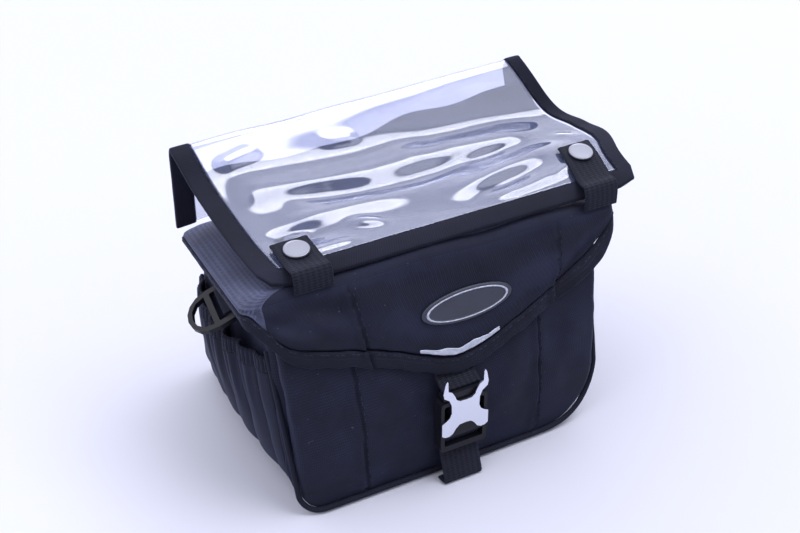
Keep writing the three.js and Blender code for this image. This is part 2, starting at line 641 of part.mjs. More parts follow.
// Puts a hard part, made at the origin, in its place.
const placed = (geometry, matrix) => geometry.clone().applyMatrix4(matrix);
const CAP_HEIGHT = 2.6;
const CAP_SIDES = 20;
const capOutline = [[0, 0], [0.92, 0], [1, 0.25], [0.98, 0.5], [0.85, 0.78], [0.55, 0.95], [0, 1]];
for (const side of Object.keys(TABS)) {
  const outline = capOutline.map(([r, h]) => new THREE.Vector2((r * CAP_DIAMETER) / 2, h * CAP_HEIGHT));
  const cap = new THREE.LatheGeometry(outline, CAP_SIDES);
  piece("snap_cap_" + side, placed(cap, tabFrames[side]), "#d6dae6", 0.25, 1);
}

// Buckle: webbing from under the flap, side-release buckle with a metal plate, webbing tail below
const BUCKLE_X = 0.5;
const BUCKLE_TOP = 58;
const BUCKLE_LOW = 22;
const HEAD_HEIGHT = 5;
const PLATE_THICK = 1;
const BUCKLE_SINK = 1.4;
const EDGE_ROUND = 3;
const HEAD_IN = 2;
const HEAD_ROUND = 2;
const TONGUE_IN = 3.5;
const TONGUE_THICK = 3;
const TONGUE_DEEP = 15;
const bodyFront = (x, z) => soft(V(x, -BODY_DEPTH / 2, z));
const buckleBack = bodyFront(BUCKLE_X, (BUCKLE_TOP + BUCKLE_LOW) / 2).y - BUCKLE_SINK;
const buckleX = bodyFront(BUCKLE_X, (BUCKLE_TOP + BUCKLE_LOW) / 2).x;
// Flat parts are drawn as seen from the front and pushed towards the body by their depth.
function plate(shape, front, depth) {
  const geometry = new THREE.ExtrudeGeometry(shape, { depth, bevelEnabled: false, curveSegments: 5 });
  geometry.rotateX(PI / 2);
  return geometry.translate(buckleX, front + depth, 0);
}
const outline = (points) => new THREE.Shape(points.map(([x, y]) => new THREE.Vector2(x, y)));
function rounded(x0, y0, x1, y1, r) {
  const shape = new THREE.Shape();
  shape.moveTo(x0 + r, y0);
  shape.lineTo(x1 - r, y0).quadraticCurveTo(x1, y0, x1, y0 + r);
  shape.lineTo(x1, y1 - r).quadraticCurveTo(x1, y1, x1 - r, y1);
  shape.lineTo(x0 + r, y1).quadraticCurveTo(x0, y1, x0, y1 - r);
  shape.lineTo(x0, y0 + r).quadraticCurveTo(x0, y0, x0 + r, y0);
  return shape;
}
function solid(geometry) {
  geometry.deleteAttribute("normal");
  geometry.deleteAttribute("uv");
  const merged = mergeVertices(geometry, 1e-4);
  const vertProperties = new Float32Array(merged.attributes.position.array);
  return new wasm.Manifold(
    new wasm.Mesh({ numProp: 3, vertProperties, triVerts: new Uint32Array(merged.index.array) }),
  );
}
function surface(body) {
  const mesh = body.getMesh();
  const geometry = new THREE.BufferGeometry();
  geometry.setAttribute("position", new THREE.Float32BufferAttribute(mesh.vertProperties, 3));
  geometry.setIndex(Array.from(mesh.triVerts));
  return geometry;
}
const box = (x0, x1, y0, y1, z0, z1) =>
  new THREE.BoxGeometry(x1 - x0, y1 - y0, z1 - z0).translate((x0 + x1) / 2, (y0 + y1) / 2, (z0 + z1) / 2);

const half = BUCKLE_WIDTH / 2;
const frontOf = buckleBack - BUCKLE_THICK;
const frameShape = rounded(-half, BUCKLE_LOW, half, BUCKLE_TOP, EDGE_ROUND);
const LOCK_BAR = 4;
const SLOT_HEIGHT = 6;
const SLOT_CLEAR = 0.6;
const BAR_THICK = 3.6;
const slotLow = BUCKLE_LOW + LOCK_BAR;
const slotHalf = WEBBING / 2 + SLOT_CLEAR;
const WINDOW = 3.8;
const WINDOW_HEIGHT = 13;
const WINDOW_IN = 4.1;
const WINDOW_DROP = 2.5;
const WINDOW_ROUND = 1.8;
const SLOT_ROUND = 1;
const webSlot = rounded(-slotHalf, slotLow, slotHalf, slotLow + SLOT_HEIGHT, SLOT_ROUND);
frameShape.holes.push(new THREE.Path(webSlot.getPoints(3)));
const windowTop = BUCKLE_TOP - WINDOW_DROP;
for (const sign of [-1, 1]) {
  const at = sign * (half - WINDOW_IN);
  const hole = rounded(at - WINDOW / 2, windowTop - WINDOW_HEIGHT, at + WINDOW / 2, windowTop, WINDOW_ROUND);
  frameShape.holes.push(new THREE.Path(hole.getPoints(3)));
}
const tongueHalf = WEBBING / 2 - TONGUE_IN;
const tongueMiddle = buckleBack - BUCKLE_THICK / 2;
const pocketCut = box(
  buckleX - tongueHalf - GAP,
  buckleX + tongueHalf + GAP,
  tongueMiddle - TONGUE_THICK / 2 - GAP,
  tongueMiddle + TONGUE_THICK / 2 + GAP,
  BUCKLE_TOP - TONGUE_DEEP - GAP,
  BUCKLE_TOP + 1,
);
// Room behind the lowest bar, where the webbing leaves the lock.
const barCut = box(
  buckleX - slotHalf,
  buckleX + slotHalf,
  frontOf + BAR_THICK,
  buckleBack + 1,
  BUCKLE_LOW - 1,
  slotLow + 1,
);
const frameSolid = solid(plate(frameShape, frontOf, BUCKLE_THICK));
const femaleSolid = frameSolid.subtract(solid(pocketCut)).subtract(solid(barCut));
piece("buckle_female", surface(femaleSolid), "#15161e", 0.45);

const headHalf = half - HEAD_IN;
const headShape = rounded(-headHalf, BUCKLE_TOP + GAP, headHalf, BUCKLE_TOP + HEAD_HEIGHT, HEAD_ROUND);
const tongue = box(
  buckleX - tongueHalf,
  buckleX + tongueHalf,
  tongueMiddle - TONGUE_THICK / 2,
  tongueMiddle + TONGUE_THICK / 2,
  BUCKLE_TOP - TONGUE_DEEP,
  BUCKLE_TOP + 1,
);
const maleSolid = solid(plate(headShape, frontOf + HEAD_IN / 2, BUCKLE_THICK - HEAD_IN)).add(solid(tongue));
piece("buckle_male", surface(maleSolid), "#15161e", 0.45);

// The metal plate is an X with two prongs at its top. Half of its outline goes from the top middle down:
// shares of the buckle's half width, and of PLATE_DROP below its frame's top.
const PLATE_DROP = 24;
const plateHalf = [
  [0, 0.012], [0.245, 0], [0.4, -0.07], [0.477, -0.2], [0.594, -0.33], [0.76, -0.39], [0.774, -0.67],
  [0.82, -0.71], [0.89, -0.62], [0.968, -0.35], [0.93, -0.22], [0.71, -0.108], [0.61, 0.06], [0.594, 0.3],
  [0.67, 0.425], [0.813, 0.504], [1, 0.567], [1, 0.933], [0.87, 0.99], [0.684, 1], [0.53, 0.94], [0.4, 0.81],
  [0.245, 0.72], [0, 0.704],
].map(([across, down]) => [across * half, BUCKLE_TOP - down * PLATE_DROP]);
const mirrored = plateHalf.slice(1, -1).reverse().map(([x, y]) => [-x, y]);
const plateShape = outline([...plateHalf, ...mirrored]);
piece("buckle_plate", plate(plateShape, frontOf - GAP - PLATE_THICK, PLATE_THICK), "#dfe3ec", 0.22, 1);

// A strip of webbing along a path in the plane across the bag's width; lean shifts its end to the left.
function webbing(path, width, lean) {
  const last = path.length - 1;
  const grid = path.map(([y, z], i) =>
    [-0.5, 0.5].map((c) => V(buckleX + c * width - (lean * i) / last, y, z)),
  );
  return slab(grid, WEB_THICK).geometry();
}
const headTop = BUCKLE_TOP + HEAD_HEIGHT + GAP;
const webMiddle = frontOf + BUCKLE_THICK / 2;
const hidden = (z) => soft(V(BUCKLE_X, -BODY_DEPTH / 2 - FLAP_CLEAR / 2, z)).y;
const WEB_HIDDEN = 32;
// Heights of the hidden part's points, as shares of WEB_HIDDEN.
const HIDDEN_ROWS = [0.16, 0.27, 0.43, 0.68, 1];
const webStart = headTop + 2 * GAP;
const goesIn = hidden(webStart) - webMiddle;
const webShares = [[0, 0], [0.24, 0.02], [0.62, 0.065]];
const webPath = webShares.map(([y, z]) => [webMiddle + y * goesIn, webStart + z * WEB_HIDDEN]);
for (const share of HIDDEN_ROWS) {
  const z = webStart + share * WEB_HIDDEN;
  webPath.push([hidden(z), z]);
}
piece("upper_webbing", webbing(webPath, WEBBING, 0), "#1c202c", 0.95);

// Webbing below the buckle, seen from the side. It leaves the lock behind the lowest bar and is folded
// under itself on the ground: shares of the buckle's thickness forwards, and of the slot's top upwards.
const TAIL_LEAN_LEFT = 2.4;
const tailShares = [
  [-0.34, 0.95], [-0.54, 0.87], [-0.69, 0.77], [-0.64, 0.62], [-0.26, 0.42], [0.12, 0.21], [0.36, 0.09],
  [0.42, 0.055], [0.3, 0.041], [0, 0.041], [-0.4, 0.041],
];
const tailPath = tailShares.map(([out, high]) => [
  frontOf - out * BUCKLE_THICK,
  high * (slotLow + SLOT_HEIGHT),
]);
piece("lower_webbing", webbing(tailPath, WEBBING, TAIL_LEAN_LEFT), "#1c202c", 0.95);

// D-rings: one plastic ring on each side below the lid, held by a cloth loop sewn to the body
const RING_LENGTH = 30;
const RING_REACH = 28;
const RING_BAR = 3.6;
const RING_THICK = 3.4;
const RING_SLOT = 6;
const RING_Y = -4;
const RING_Z = LID_TOP - 28;
const RING_DROP = 28;
const RING_TILT = 10;
const RING_SINK = 2;
const SLOT_EDGE = 1;
const CORNER_ROUND = 0.8;
// Reach of the curves' handles for the ring's outside and its hole, as shares of RING_REACH.
const BOW_OUT = 1.12;
const BOW_IN = 0.95;
function ringShape() {
  const shape = new THREE.Shape();
  const h = RING_LENGTH / 2;
  shape.moveTo(0, -h);
  shape.lineTo(RING_SLOT + RING_BAR, -h);
  shape.bezierCurveTo(RING_REACH * BOW_OUT, -h, RING_REACH * BOW_OUT, h, RING_SLOT + RING_BAR, h);
  shape.lineTo(0, h);
  shape.closePath();
  const inner = h - RING_BAR;
  const slot = rounded(RING_BAR, -inner, RING_BAR + RING_SLOT - SLOT_EDGE, inner, CORNER_ROUND);
  shape.holes.push(new THREE.Path(slot.getPoints(2)));
  const bow = new THREE.Path();
  const start = 2 * RING_BAR + RING_SLOT - SLOT_EDGE;
  bow.moveTo(start, -inner);
  bow.bezierCurveTo(RING_REACH * BOW_IN, -inner, RING_REACH * BOW_IN, inner, start, inner);
  bow.closePath();
  shape.holes.push(new THREE.Path(bow.getPoints(6)));
  return shape;
}
const LOOP_WIDTH = 20;
const LOOP_CLOTH = 1.3;
const LOOP_OUT = 6.3;
const LOOP_REST = 2.2;
const HOLE_ROUND = 0.4;
// Turns a piece drawn flat to the ring's slope and sets it beside the body's wall.
function ringPlace(geometry, sign) {
  const wall = soft(V(sign * wallOut(sign), RING_Y, RING_Z));
  geometry.rotateX(degrees(RING_TILT)).rotateY(degrees(RING_DROP));
  if (sign < 0) geometry.rotateZ(PI).rotateX(degrees(2 * RING_TILT));
  return geometry.translate(wall.x + sign * LOOP_OUT, wall.y, wall.z - RING_SINK);
}
for (const [side, sign] of [["left", -1], ["right", 1]]) {
  const settings = { depth: RING_THICK, bevelEnabled: false, curveSegments: 8 };
  const ring = new THREE.ExtrudeGeometry(ringShape(), settings);
  ring.translate(0, 0, -RING_THICK / 2);
  piece("d_ring_" + side, ringPlace(ring, sign), "#1a1d26", 0.4);
  const high = RING_THICK / 2 + GAP;
  const loopEnd = RING_BAR + GAP + LOOP_CLOTH;
  const section = rounded(LOOP_REST - LOOP_OUT, -high - LOOP_CLOTH, loopEnd, high + LOOP_CLOTH, LOOP_CLOTH);
  const hole = rounded(-GAP, -high, RING_BAR + GAP, high, HOLE_ROUND);
  section.holes.push(new THREE.Path(hole.getPoints(2)));
  const sleeve = new THREE.ExtrudeGeometry(section, { ...settings, depth: LOOP_WIDTH, curveSegments: 3 });
  sleeve.rotateX(PI / 2).translate(0, LOOP_WIDTH / 2, 0);
  piece("ring_loop_" + side, ringPlace(sleeve, sign), "#1b1e2a", 0.9);
}

// Back plate: the hard plate on the hidden back that takes the handlebar fitting
const PLATE_DEPTH = 5;
const PLATE_REST = 0.8;
const PLATE_ROUND = 5;
const PLATE_LOW = LID_TOP - 77;
const plateAt = [PLATE_LOW, PLATE_LOW + PLATE_HEIGHT].map((z) => soft(V(0, BODY_DEPTH / 2, z)));
const backLean = Math.atan2(plateAt[0].y - plateAt[1].y, plateAt[1].z - plateAt[0].z);
const middle = soft(V(0, BODY_DEPTH / 2, PLATE_LOW + PLATE_HEIGHT / 2));
const backPlate = new THREE.ExtrudeGeometry(
  rounded(-PLATE_WIDTH / 2, -PLATE_HEIGHT / 2, PLATE_WIDTH / 2, PLATE_HEIGHT / 2, PLATE_ROUND),
  { depth: PLATE_DEPTH, bevelEnabled: false, curveSegments: 4 },
);
backPlate.rotateX(PI / 2).translate(0, PLATE_DEPTH + PLATE_REST, 0);
backPlate.rotateX(backLean).translate(middle.x, middle.y, middle.z);
piece("back_plate", backPlate, "#17181f", 0.5);

// The origin is the middle of the bag's box, on the surface that it stands on.
const bounds = new THREE.Box3().setFromObject(group, true);
const centre = bounds.getCenter(V(0, 0, 0));
group.position.set(-centre.x, -centre.y, -bounds.min.z);
group.updateMatrixWorld(true);

export default group;
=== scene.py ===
import math

import bpy
import numpy as np
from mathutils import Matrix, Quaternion, Vector


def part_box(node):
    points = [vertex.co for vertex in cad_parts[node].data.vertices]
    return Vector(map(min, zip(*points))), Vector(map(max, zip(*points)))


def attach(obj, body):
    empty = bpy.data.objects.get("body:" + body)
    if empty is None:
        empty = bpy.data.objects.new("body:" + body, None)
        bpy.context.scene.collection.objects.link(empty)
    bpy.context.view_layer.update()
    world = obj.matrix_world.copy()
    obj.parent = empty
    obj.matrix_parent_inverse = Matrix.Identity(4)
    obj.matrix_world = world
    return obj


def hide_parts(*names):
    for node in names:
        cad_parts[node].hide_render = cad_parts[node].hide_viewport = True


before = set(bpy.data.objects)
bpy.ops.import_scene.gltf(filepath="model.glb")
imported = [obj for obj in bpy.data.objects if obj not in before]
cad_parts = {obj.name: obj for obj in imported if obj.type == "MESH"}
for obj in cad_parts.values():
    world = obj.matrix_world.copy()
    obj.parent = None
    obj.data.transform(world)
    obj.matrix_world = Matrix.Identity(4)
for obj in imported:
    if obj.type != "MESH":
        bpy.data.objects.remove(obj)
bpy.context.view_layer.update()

# Studio: a white light tent with a bright panel above and behind the bag, seen from its front left
# corner a little above. The floor is white card, so the shadow under the bag stays soft and pale.
scene = bpy.context.scene
camera = bpy.data.objects.new("camera", bpy.data.cameras.new("camera"))
scene.collection.objects.link(camera)
scene.camera = camera
camera.data.lens = 58.5
camera.data.clip_end = 50
camera.location = (-0.3172, -0.5901, 0.5273)
camera.rotation_mode = "QUATERNION"
aim = Vector((-0.0034, 0.0025, 0.0984)) - camera.location
camera.rotation_quaternion = aim.to_track_quat("-Z", "Y") @ Quaternion((0, 0, 1), math.radians(-0.3))
scene.view_settings.view_transform = "Standard"


def linear(code):
    """Linear RGBA of an sRGB hex colour."""
    parts = [int(code[i : i + 2], 16) / 255 for i in (1, 3, 5)]
    return [c / 12.92 if c <= 0.04045 else ((c + 0.055) / 1.055) ** 2.4 for c in parts] + [1.0]


def node(tree, kind, inputs=None, **settings):
    """Adds a shader node; an input takes a value or another node's output."""
    made = tree.nodes.new("ShaderNode" + kind)
    for name, value in settings.items():
        setattr(made, name, value)
    for name, value in (inputs or {}).items():
        if isinstance(value, bpy.types.NodeSocket):
            tree.links.new(value, made.inputs[name])
        else:
            made.inputs[name].default_value = value
    return made


def blank_material(name):
    """A new material with nothing but its output."""
    made = bpy.data.materials.new(name)
    made.use_nodes = True
    made.node_tree.nodes.clear()
    return made, made.node_tree, node(made.node_tree, "OutputMaterial").inputs["Surface"]


# White studio card: matt paper, a faint unevenness in its tone.
card, tree, surface = blank_material("studio_card")
mottle = node(tree, "TexNoise", {"Scale": 3.0, "Detail": 2.0})
tone = node(
    tree, "Mix", {0: mottle.outputs["Fac"], 6: linear("#b3b4bf"), 7: linear("#b8b9c4")}, data_type="RGBA"
)
paper = node(tree, "BsdfPrincipled", {"Base Color": tone.outputs[2], "Roughness": 0.9})
tree.links.new(paper.outputs[0], surface)
# The card lies a hair under the bag's bottom, so the two faces don't fight.
FLOOR, FLOOR_HIGH = 6, -0.0002
floor_plan = ((-FLOOR, -FLOOR), (FLOOR, -FLOOR), (FLOOR, FLOOR), (-FLOOR, FLOOR))
floor_mesh = bpy.data.meshes.new("studio_floor")
floor_mesh.from_pydata([(x, y, FLOOR_HIGH) for x, y in floor_plan], [], [(0, 1, 2, 3)])
floor_mesh.materials.append(card)
studio_floor = bpy.data.objects.new("studio_floor", floor_mesh)
scene.collection.objects.link(studio_floor)

tent = bpy.data.worlds.new("tent")
tent.use_nodes = True
tree = tent.node_tree
toward = node(tree, "TexCoord").outputs["Generated"]
uneven = node(tree, "TexNoise", {"Vector": toward, "Scale": 2.6, "Detail": 2.0, "Distortion": 0.6})
patchy = node(tree, "MapRange", {0: uneven.outputs["Fac"], 1: 0.36, 2: 0.64, 3: 0.85, 4: 1.1})
# Lit parts of the tent: direction, cosines of their outer and inner edge, brightness, and whether
# the light is patchy. The first is the wide bright back, the second the small one over the vinyl.
glow = 0.42
for axis, outer, inner, power, is_patchy in [
    ((-0.12, 0.70, 0.70), 0.30, 0.70, 2.0, True),
    ((0.36, -0.17, 0.92), 0.93, 0.968, 6.5, False),
    ((0.60, -0.62, 0.50), 0.92, 0.98, 2.0, False),
    ((-0.75, -0.40, 0.5), 0.70, 0.96, 0.7, False),
]:
    facing = node(tree, "VectorMath", {0: toward, 1: Vector(axis).normalized()}, operation="DOT_PRODUCT")
    lobe = node(
        tree,
        "MapRange",
        {0: facing.outputs["Value"], 1: outer, 2: inner, 3: 0.0, 4: power},
        interpolation_type="SMOOTHSTEP",
    ).outputs[0]
    if is_patchy:
        lobe = node(tree, "Math", {0: lobe, 1: patchy.outputs[0]}, operation="MULTIPLY").outputs[0]
    glow = node(tree, "Math", {0: glow, 1: lobe}, operation="ADD").outputs[0]
backdrop = tree.nodes["Background"]
backdrop.inputs["Color"].default_value = linear("#f3f4ff")
tree.links.new(glow, backdrop.inputs["Strength"])
scene.world = tent
# Panels beside the bag: name, place, point they face, width and height in metres, power in watts.
for name, place, facing, width, height, power in [
    ("right_panel", (1.3, 0.2, 0.8), (0.0, 0.0, 0.1), 0.5, 0.9, 1.0),
    ("left_panel", (-1.2, -0.5, 0.5), (0.0, 0.0, 0.1), 0.3, 0.8, 2.2),
]:
    lamp = bpy.data.lights.new(name, "AREA")
    lamp.shape = "RECTANGLE"
    lamp.size = width
    lamp.size_y = height
    lamp.energy = power
    lamp.color = linear("#f6f7ff")[:3]
    light = bpy.data.objects.new(name, lamp)
    light.location = place
    light.rotation_mode = "QUATERNION"
    light.rotation_quaternion = (Vector(facing) - light.location).to_track_quat("-Z", "Y")
    scene.collection.objects.link(light)

# Body: a tub of doubled black pack cloth, its lower corners rounder on the right. Two darts run down
# its front panel, and side panels are joined to it by a narrow turned seam.
BODY_WIDTH = 194
BODY_DEPTH = 159
BODY_RIGHT = 3
LID_TOP = 143
RIM_HEIGHT = 136
CORNERS = ((-1, 14), (1, 38))
PANEL_EDGE = 4
BODY_WALL = 2.5
TAPER = 0.3
FLARE = 0.08
BACK_DROP = 16
FRONT_BULGE = 4
SIDE_BULGE = 3
GAP = 0.35
# How far a cut edge of cloth stands out, as a share of the cloth's thickness.
EDGE_ROUND = 0.4
PI = math.pi


def mix(a, b, t):
    """Goes evenly from a to b as t goes from 0 to 1."""
    return a + (b - a) * t


def smooth(t):
    """Goes softly from 0 to 1 as t does."""
    t = np.clip(t, 0, 1)
    return t * t * (3 - 2 * t)


def hump(off, wide):
    """A bell of height one; off is the distance from its middle and wide its half width."""
    return np.exp(-((off / wide) ** 2))


def unit(v):
    """The same vectors, of length one."""
    return v / np.maximum(np.linalg.norm(v, axis=-1, keepdims=True), 1e-9)


def lengths(line):
    """Length along a line of points up to each of them."""
    return np.concatenate([[0], np.cumsum(np.linalg.norm(np.diff(line, axis=0), axis=1))])


def wall_out(sign):
    """Distance of a side wall from the middle plane; the right one stands out further."""
    return BODY_WIDTH / 2 + (BODY_RIGHT if sign > 0 else 0)


def vec(*parts):
    """Points from their coordinates, which may be numbers or arrays."""
    return np.stack(np.broadcast_arrays(*[np.asarray(p, float) for p in parts]), -1)


def along(table, t):
    """Value of an even table at share t, joined by smooth curves."""
    table = np.asarray(table, float)
    at = np.clip(t, 0, 1) * (len(table) - 1)
    i = np.minimum(np.floor(at).astype(int), len(table) - 2)
    a, b, c, d = (table[np.clip(i + k, 0, len(table) - 1)] for k in (-1, 0, 1, 2))
    f = at - i
    return b + 0.5 * f * (c - a + f * (2 * a - 5 * b + 4 * c - d + f * (3 * b - a - 3 * c + d)))


def soft(p):
    """The slump, taper and bulge that turn the drawn box into the soft bag."""
    x, y, z = p[..., 0], p[..., 1], p[..., 2]
    t = np.clip(z / LID_TOP, 0, 1)
    across = np.clip(x / (BODY_WIDTH / 2), -1, 1)
    deep = np.clip(y / (BODY_DEPTH / 2), -1, 1)
    swell = np.sin(PI * np.sqrt(t)) ** 2
    front = FRONT_BULGE * swell * np.cos(PI / 2 * across) * smooth(-deep)
    side = SIDE_BULGE * swell * np.cos(PI / 2 * deep) * np.sign(across) * smooth(np.abs(across))
    flare = FLARE * t * (0.5 - y / BODY_DEPTH)
    drop = BACK_DROP * t * t * (y / BODY_DEPTH + 0.5)
    return vec(x * (1 + flare) + side, y * (1 - TAPER * t * t) - front, z - drop)


def folds(x, z, table):
    """Sum of soft folds over a flat place: each row is start, end, half width and height."""
    total = np.zeros(np.broadcast(x, z).shape)
    for x0, z0, x1, z1, wide, high in table:
        dx, dz = x1 - x0, z1 - z0
        far = math.hypot(dx, dz)
        t = ((x - x0) * dx + (z - z0) * dz) / far**2
        off = ((x - x0) * dz - (z - z0) * dx) / far
        total = total + high * hump(off, wide) * smooth(t * 3) * smooth((1 - t) * 3)
    return total


def ripples(x, z, size, seed):
    """Smooth even unevenness of about height one, made of twelve crossing waves."""
    random = np.random.default_rng(seed)
    total = 0
    for _ in range(12):
        turn, phase = random.uniform(0, 2 * PI, 2)
        pace = 2 * PI / (size * random.uniform(0.7, 1.6))
        total = total + np.sin(pace * (x * math.cos(turn) + z * math.sin(turn)) + phase)
    return total / 12**0.5


def stops(start, end, step, marks=(), reach=2.4):
    """Places from start to end, closer together beside the marks."""
    even = np.linspace(start, end, max(round(abs(end - start) / step), 1) + 1)
    near = [m + reach * k for m in marks for k in (-1, -0.6, -0.35, -0.15, 0, 0.15, 0.35, 0.6, 1)]
    far = [p for p in even[1:-1] if all(abs(p - m) > reach * 1.2 for m in marks)]
    return np.array(sorted([start, end, *near, *far]))


# The drawing's origin is the bag's middle and the frame's is the middle of its box, so the plate on
# the back gives the shift across, and the buckle, sunk a little into the panel, the shift in depth.
plate_low, plate_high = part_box("back_plate")
SHIFT_X = (plate_low.x + plate_high.x) / 2 * 1000
BUCKLE_X = 0.5
BUCKLE_TOP = 58
BUCKLE_LOW = 22
BUCKLE_SINK = 1.4
buckle_spot = soft(vec(BUCKLE_X, -BODY_DEPTH / 2, (BUCKLE_TOP + BUCKLE_LOW) / 2))
buckle_back = buckle_spot[1] - BUCKLE_SINK
SHIFT_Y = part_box("buckle_female")[1].y * 1000 - buckle_back


class Cloth:
    """Collects vertices, their place on the cut cloth and faces, and makes one piece of them."""

    def __init__(self):
        self.points = []
        self.cut = []
        self.faces = []
        self.groups = []
        self.count = 0

    def add(self, points, cut):
        """Adds an array of points and returns their numbers in the same layout."""
        points = np.asarray(points, float)
        shape = points.shape[:-1]
        self.points.append(points.reshape(-1, 3))
        self.cut.append(np.broadcast_to(cut, (*shape, 2)).reshape(-1, 2))
        ids = np.arange(self.count, self.count + int(np.prod(shape))).reshape(shape)
        self.count += ids.size
        return ids

    def quads(self, a, b, c, d, group=0):
        """Adds a face for each set of four point numbers; group is the material's number."""
        made = np.stack([np.ravel(x) for x in (a, b, c, d)], -1)
        self.faces.append(made)
        self.groups.append(np.broadcast_to(np.ravel(group), len(made)))

    def weave(self, ids, closed=False, turned=False, group=0):
        """Faces of a grid of numbers; closed joins its last column to its first."""
        if closed:
            ids = np.concatenate([ids, ids[:, :1]], 1)
        a, b, c, d = ids[:-1, :-1], ids[1:, :-1], ids[1:, 1:], ids[:-1, 1:]
        self.quads(*((d, c, b, a) if turned else (a, b, c, d)), group=group)

    def close_ends(self, ids, rings, cut, turned=False):
        """Closes the first and last ring of a turned form with a flat fan of faces."""
        for end in (0, -1):
            hub = self.add(rings[end].mean(0) + 0 * rings[end], cut[end])
            self.weave(np.stack([hub, ids[end]]), closed=True, turned=turned != bool(end))

    def piece(self, name, materials, slot, replaces=()):
        """Makes the piece, which rides on the bag and stands for the nodes that it replaces."""
        points = (np.concatenate(self.points) + (SHIFT_X, SHIFT_Y, 0)) / 1000
        faces = np.concatenate(self.faces)
        mesh = bpy.data.meshes.new(name)
        mesh.from_pydata(points.tolist(), [], faces.tolist())
        layer = mesh.uv_layers.new(name="cut")
        corners = np.zeros(len(mesh.loops), int)
        mesh.loops.foreach_get("vertex_index", corners)
        layer.data.foreach_set("uv", np.concatenate(self.cut)[corners].astype(np.float32).ravel())
        for material in materials:
            mesh.materials.append(material)
        mesh.polygons.foreach_set("material_index", np.concatenate(self.groups).astype(np.int32))
        mesh.polygons.foreach_set("use_smooth", np.ones(len(faces), bool))
        mesh.update()
        made = bpy.data.objects.new(name, mesh)
        scene.collection.objects.link(made)
        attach(made, "root")
        if replaces:
            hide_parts(*replaces)
        return made


def outward(grid, closed=False):
    """Unit normals of a grid of points, rows running away from the closed end."""
    if closed:
        grid = np.concatenate([grid[:, -1:], grid, grid[:, :1]], 1)
    over = np.gradient(grid, axis=1)
    down = np.gradient(grid, axis=0)
    if closed:
        over, down = over[:, 1:-1], down[:, 1:-1]
    return unit(np.cross(over, down))


def cut_of(grid):
    """Place of each point on the cut cloth, in millimetres, from the lengths along the grid."""
    steps = np.linalg.norm(np.diff(grid, axis=1), axis=-1)
    u = np.concatenate([np.zeros((len(grid), 1)), np.cumsum(steps, 1)], 1)
    rise = np.linalg.norm(np.diff(grid, axis=0), axis=-1)
    v = np.concatenate([np.zeros((1, grid.shape[1])), np.cumsum(rise, 0)], 0)
    middle = slice(grid.shape[1] // 2, grid.shape[1] // 2 + 1)
    return np.stack([u - u[:, middle], np.broadcast_to(v[:, middle], u.shape)], -1)


def sheet_of(grid, thick):
    """A slab of cloth of one thickness with rounded edges; grid is its middle surface."""
    made = Cloth()
    n = outward(grid)
    cut = cut_of(grid)
    top = made.add(grid + n * thick / 2, cut)
    under = made.add(grid - n * thick / 2, cut)
    made.weave(top, turned=True)
    made.weave(under)
    every, back = slice(None), slice(None, None, -1)
    rim = [(0, every), (every, -1), (-1, back), (back, 0)]
    inner = [(1, every), (every, -2), (-2, back), (back, 1)]
    for at, beside in zip(rim, inner):
        out = unit(grid[at] - grid[beside])
        edge = made.add(grid[at] + out * thick * EDGE_ROUND, cut[at])
        made.quads(top[at][1:], top[at][:-1], edge[:-1], edge[1:])
        made.quads(edge[1:], edge[:-1], under[at][:-1], under[at][1:])
    return made


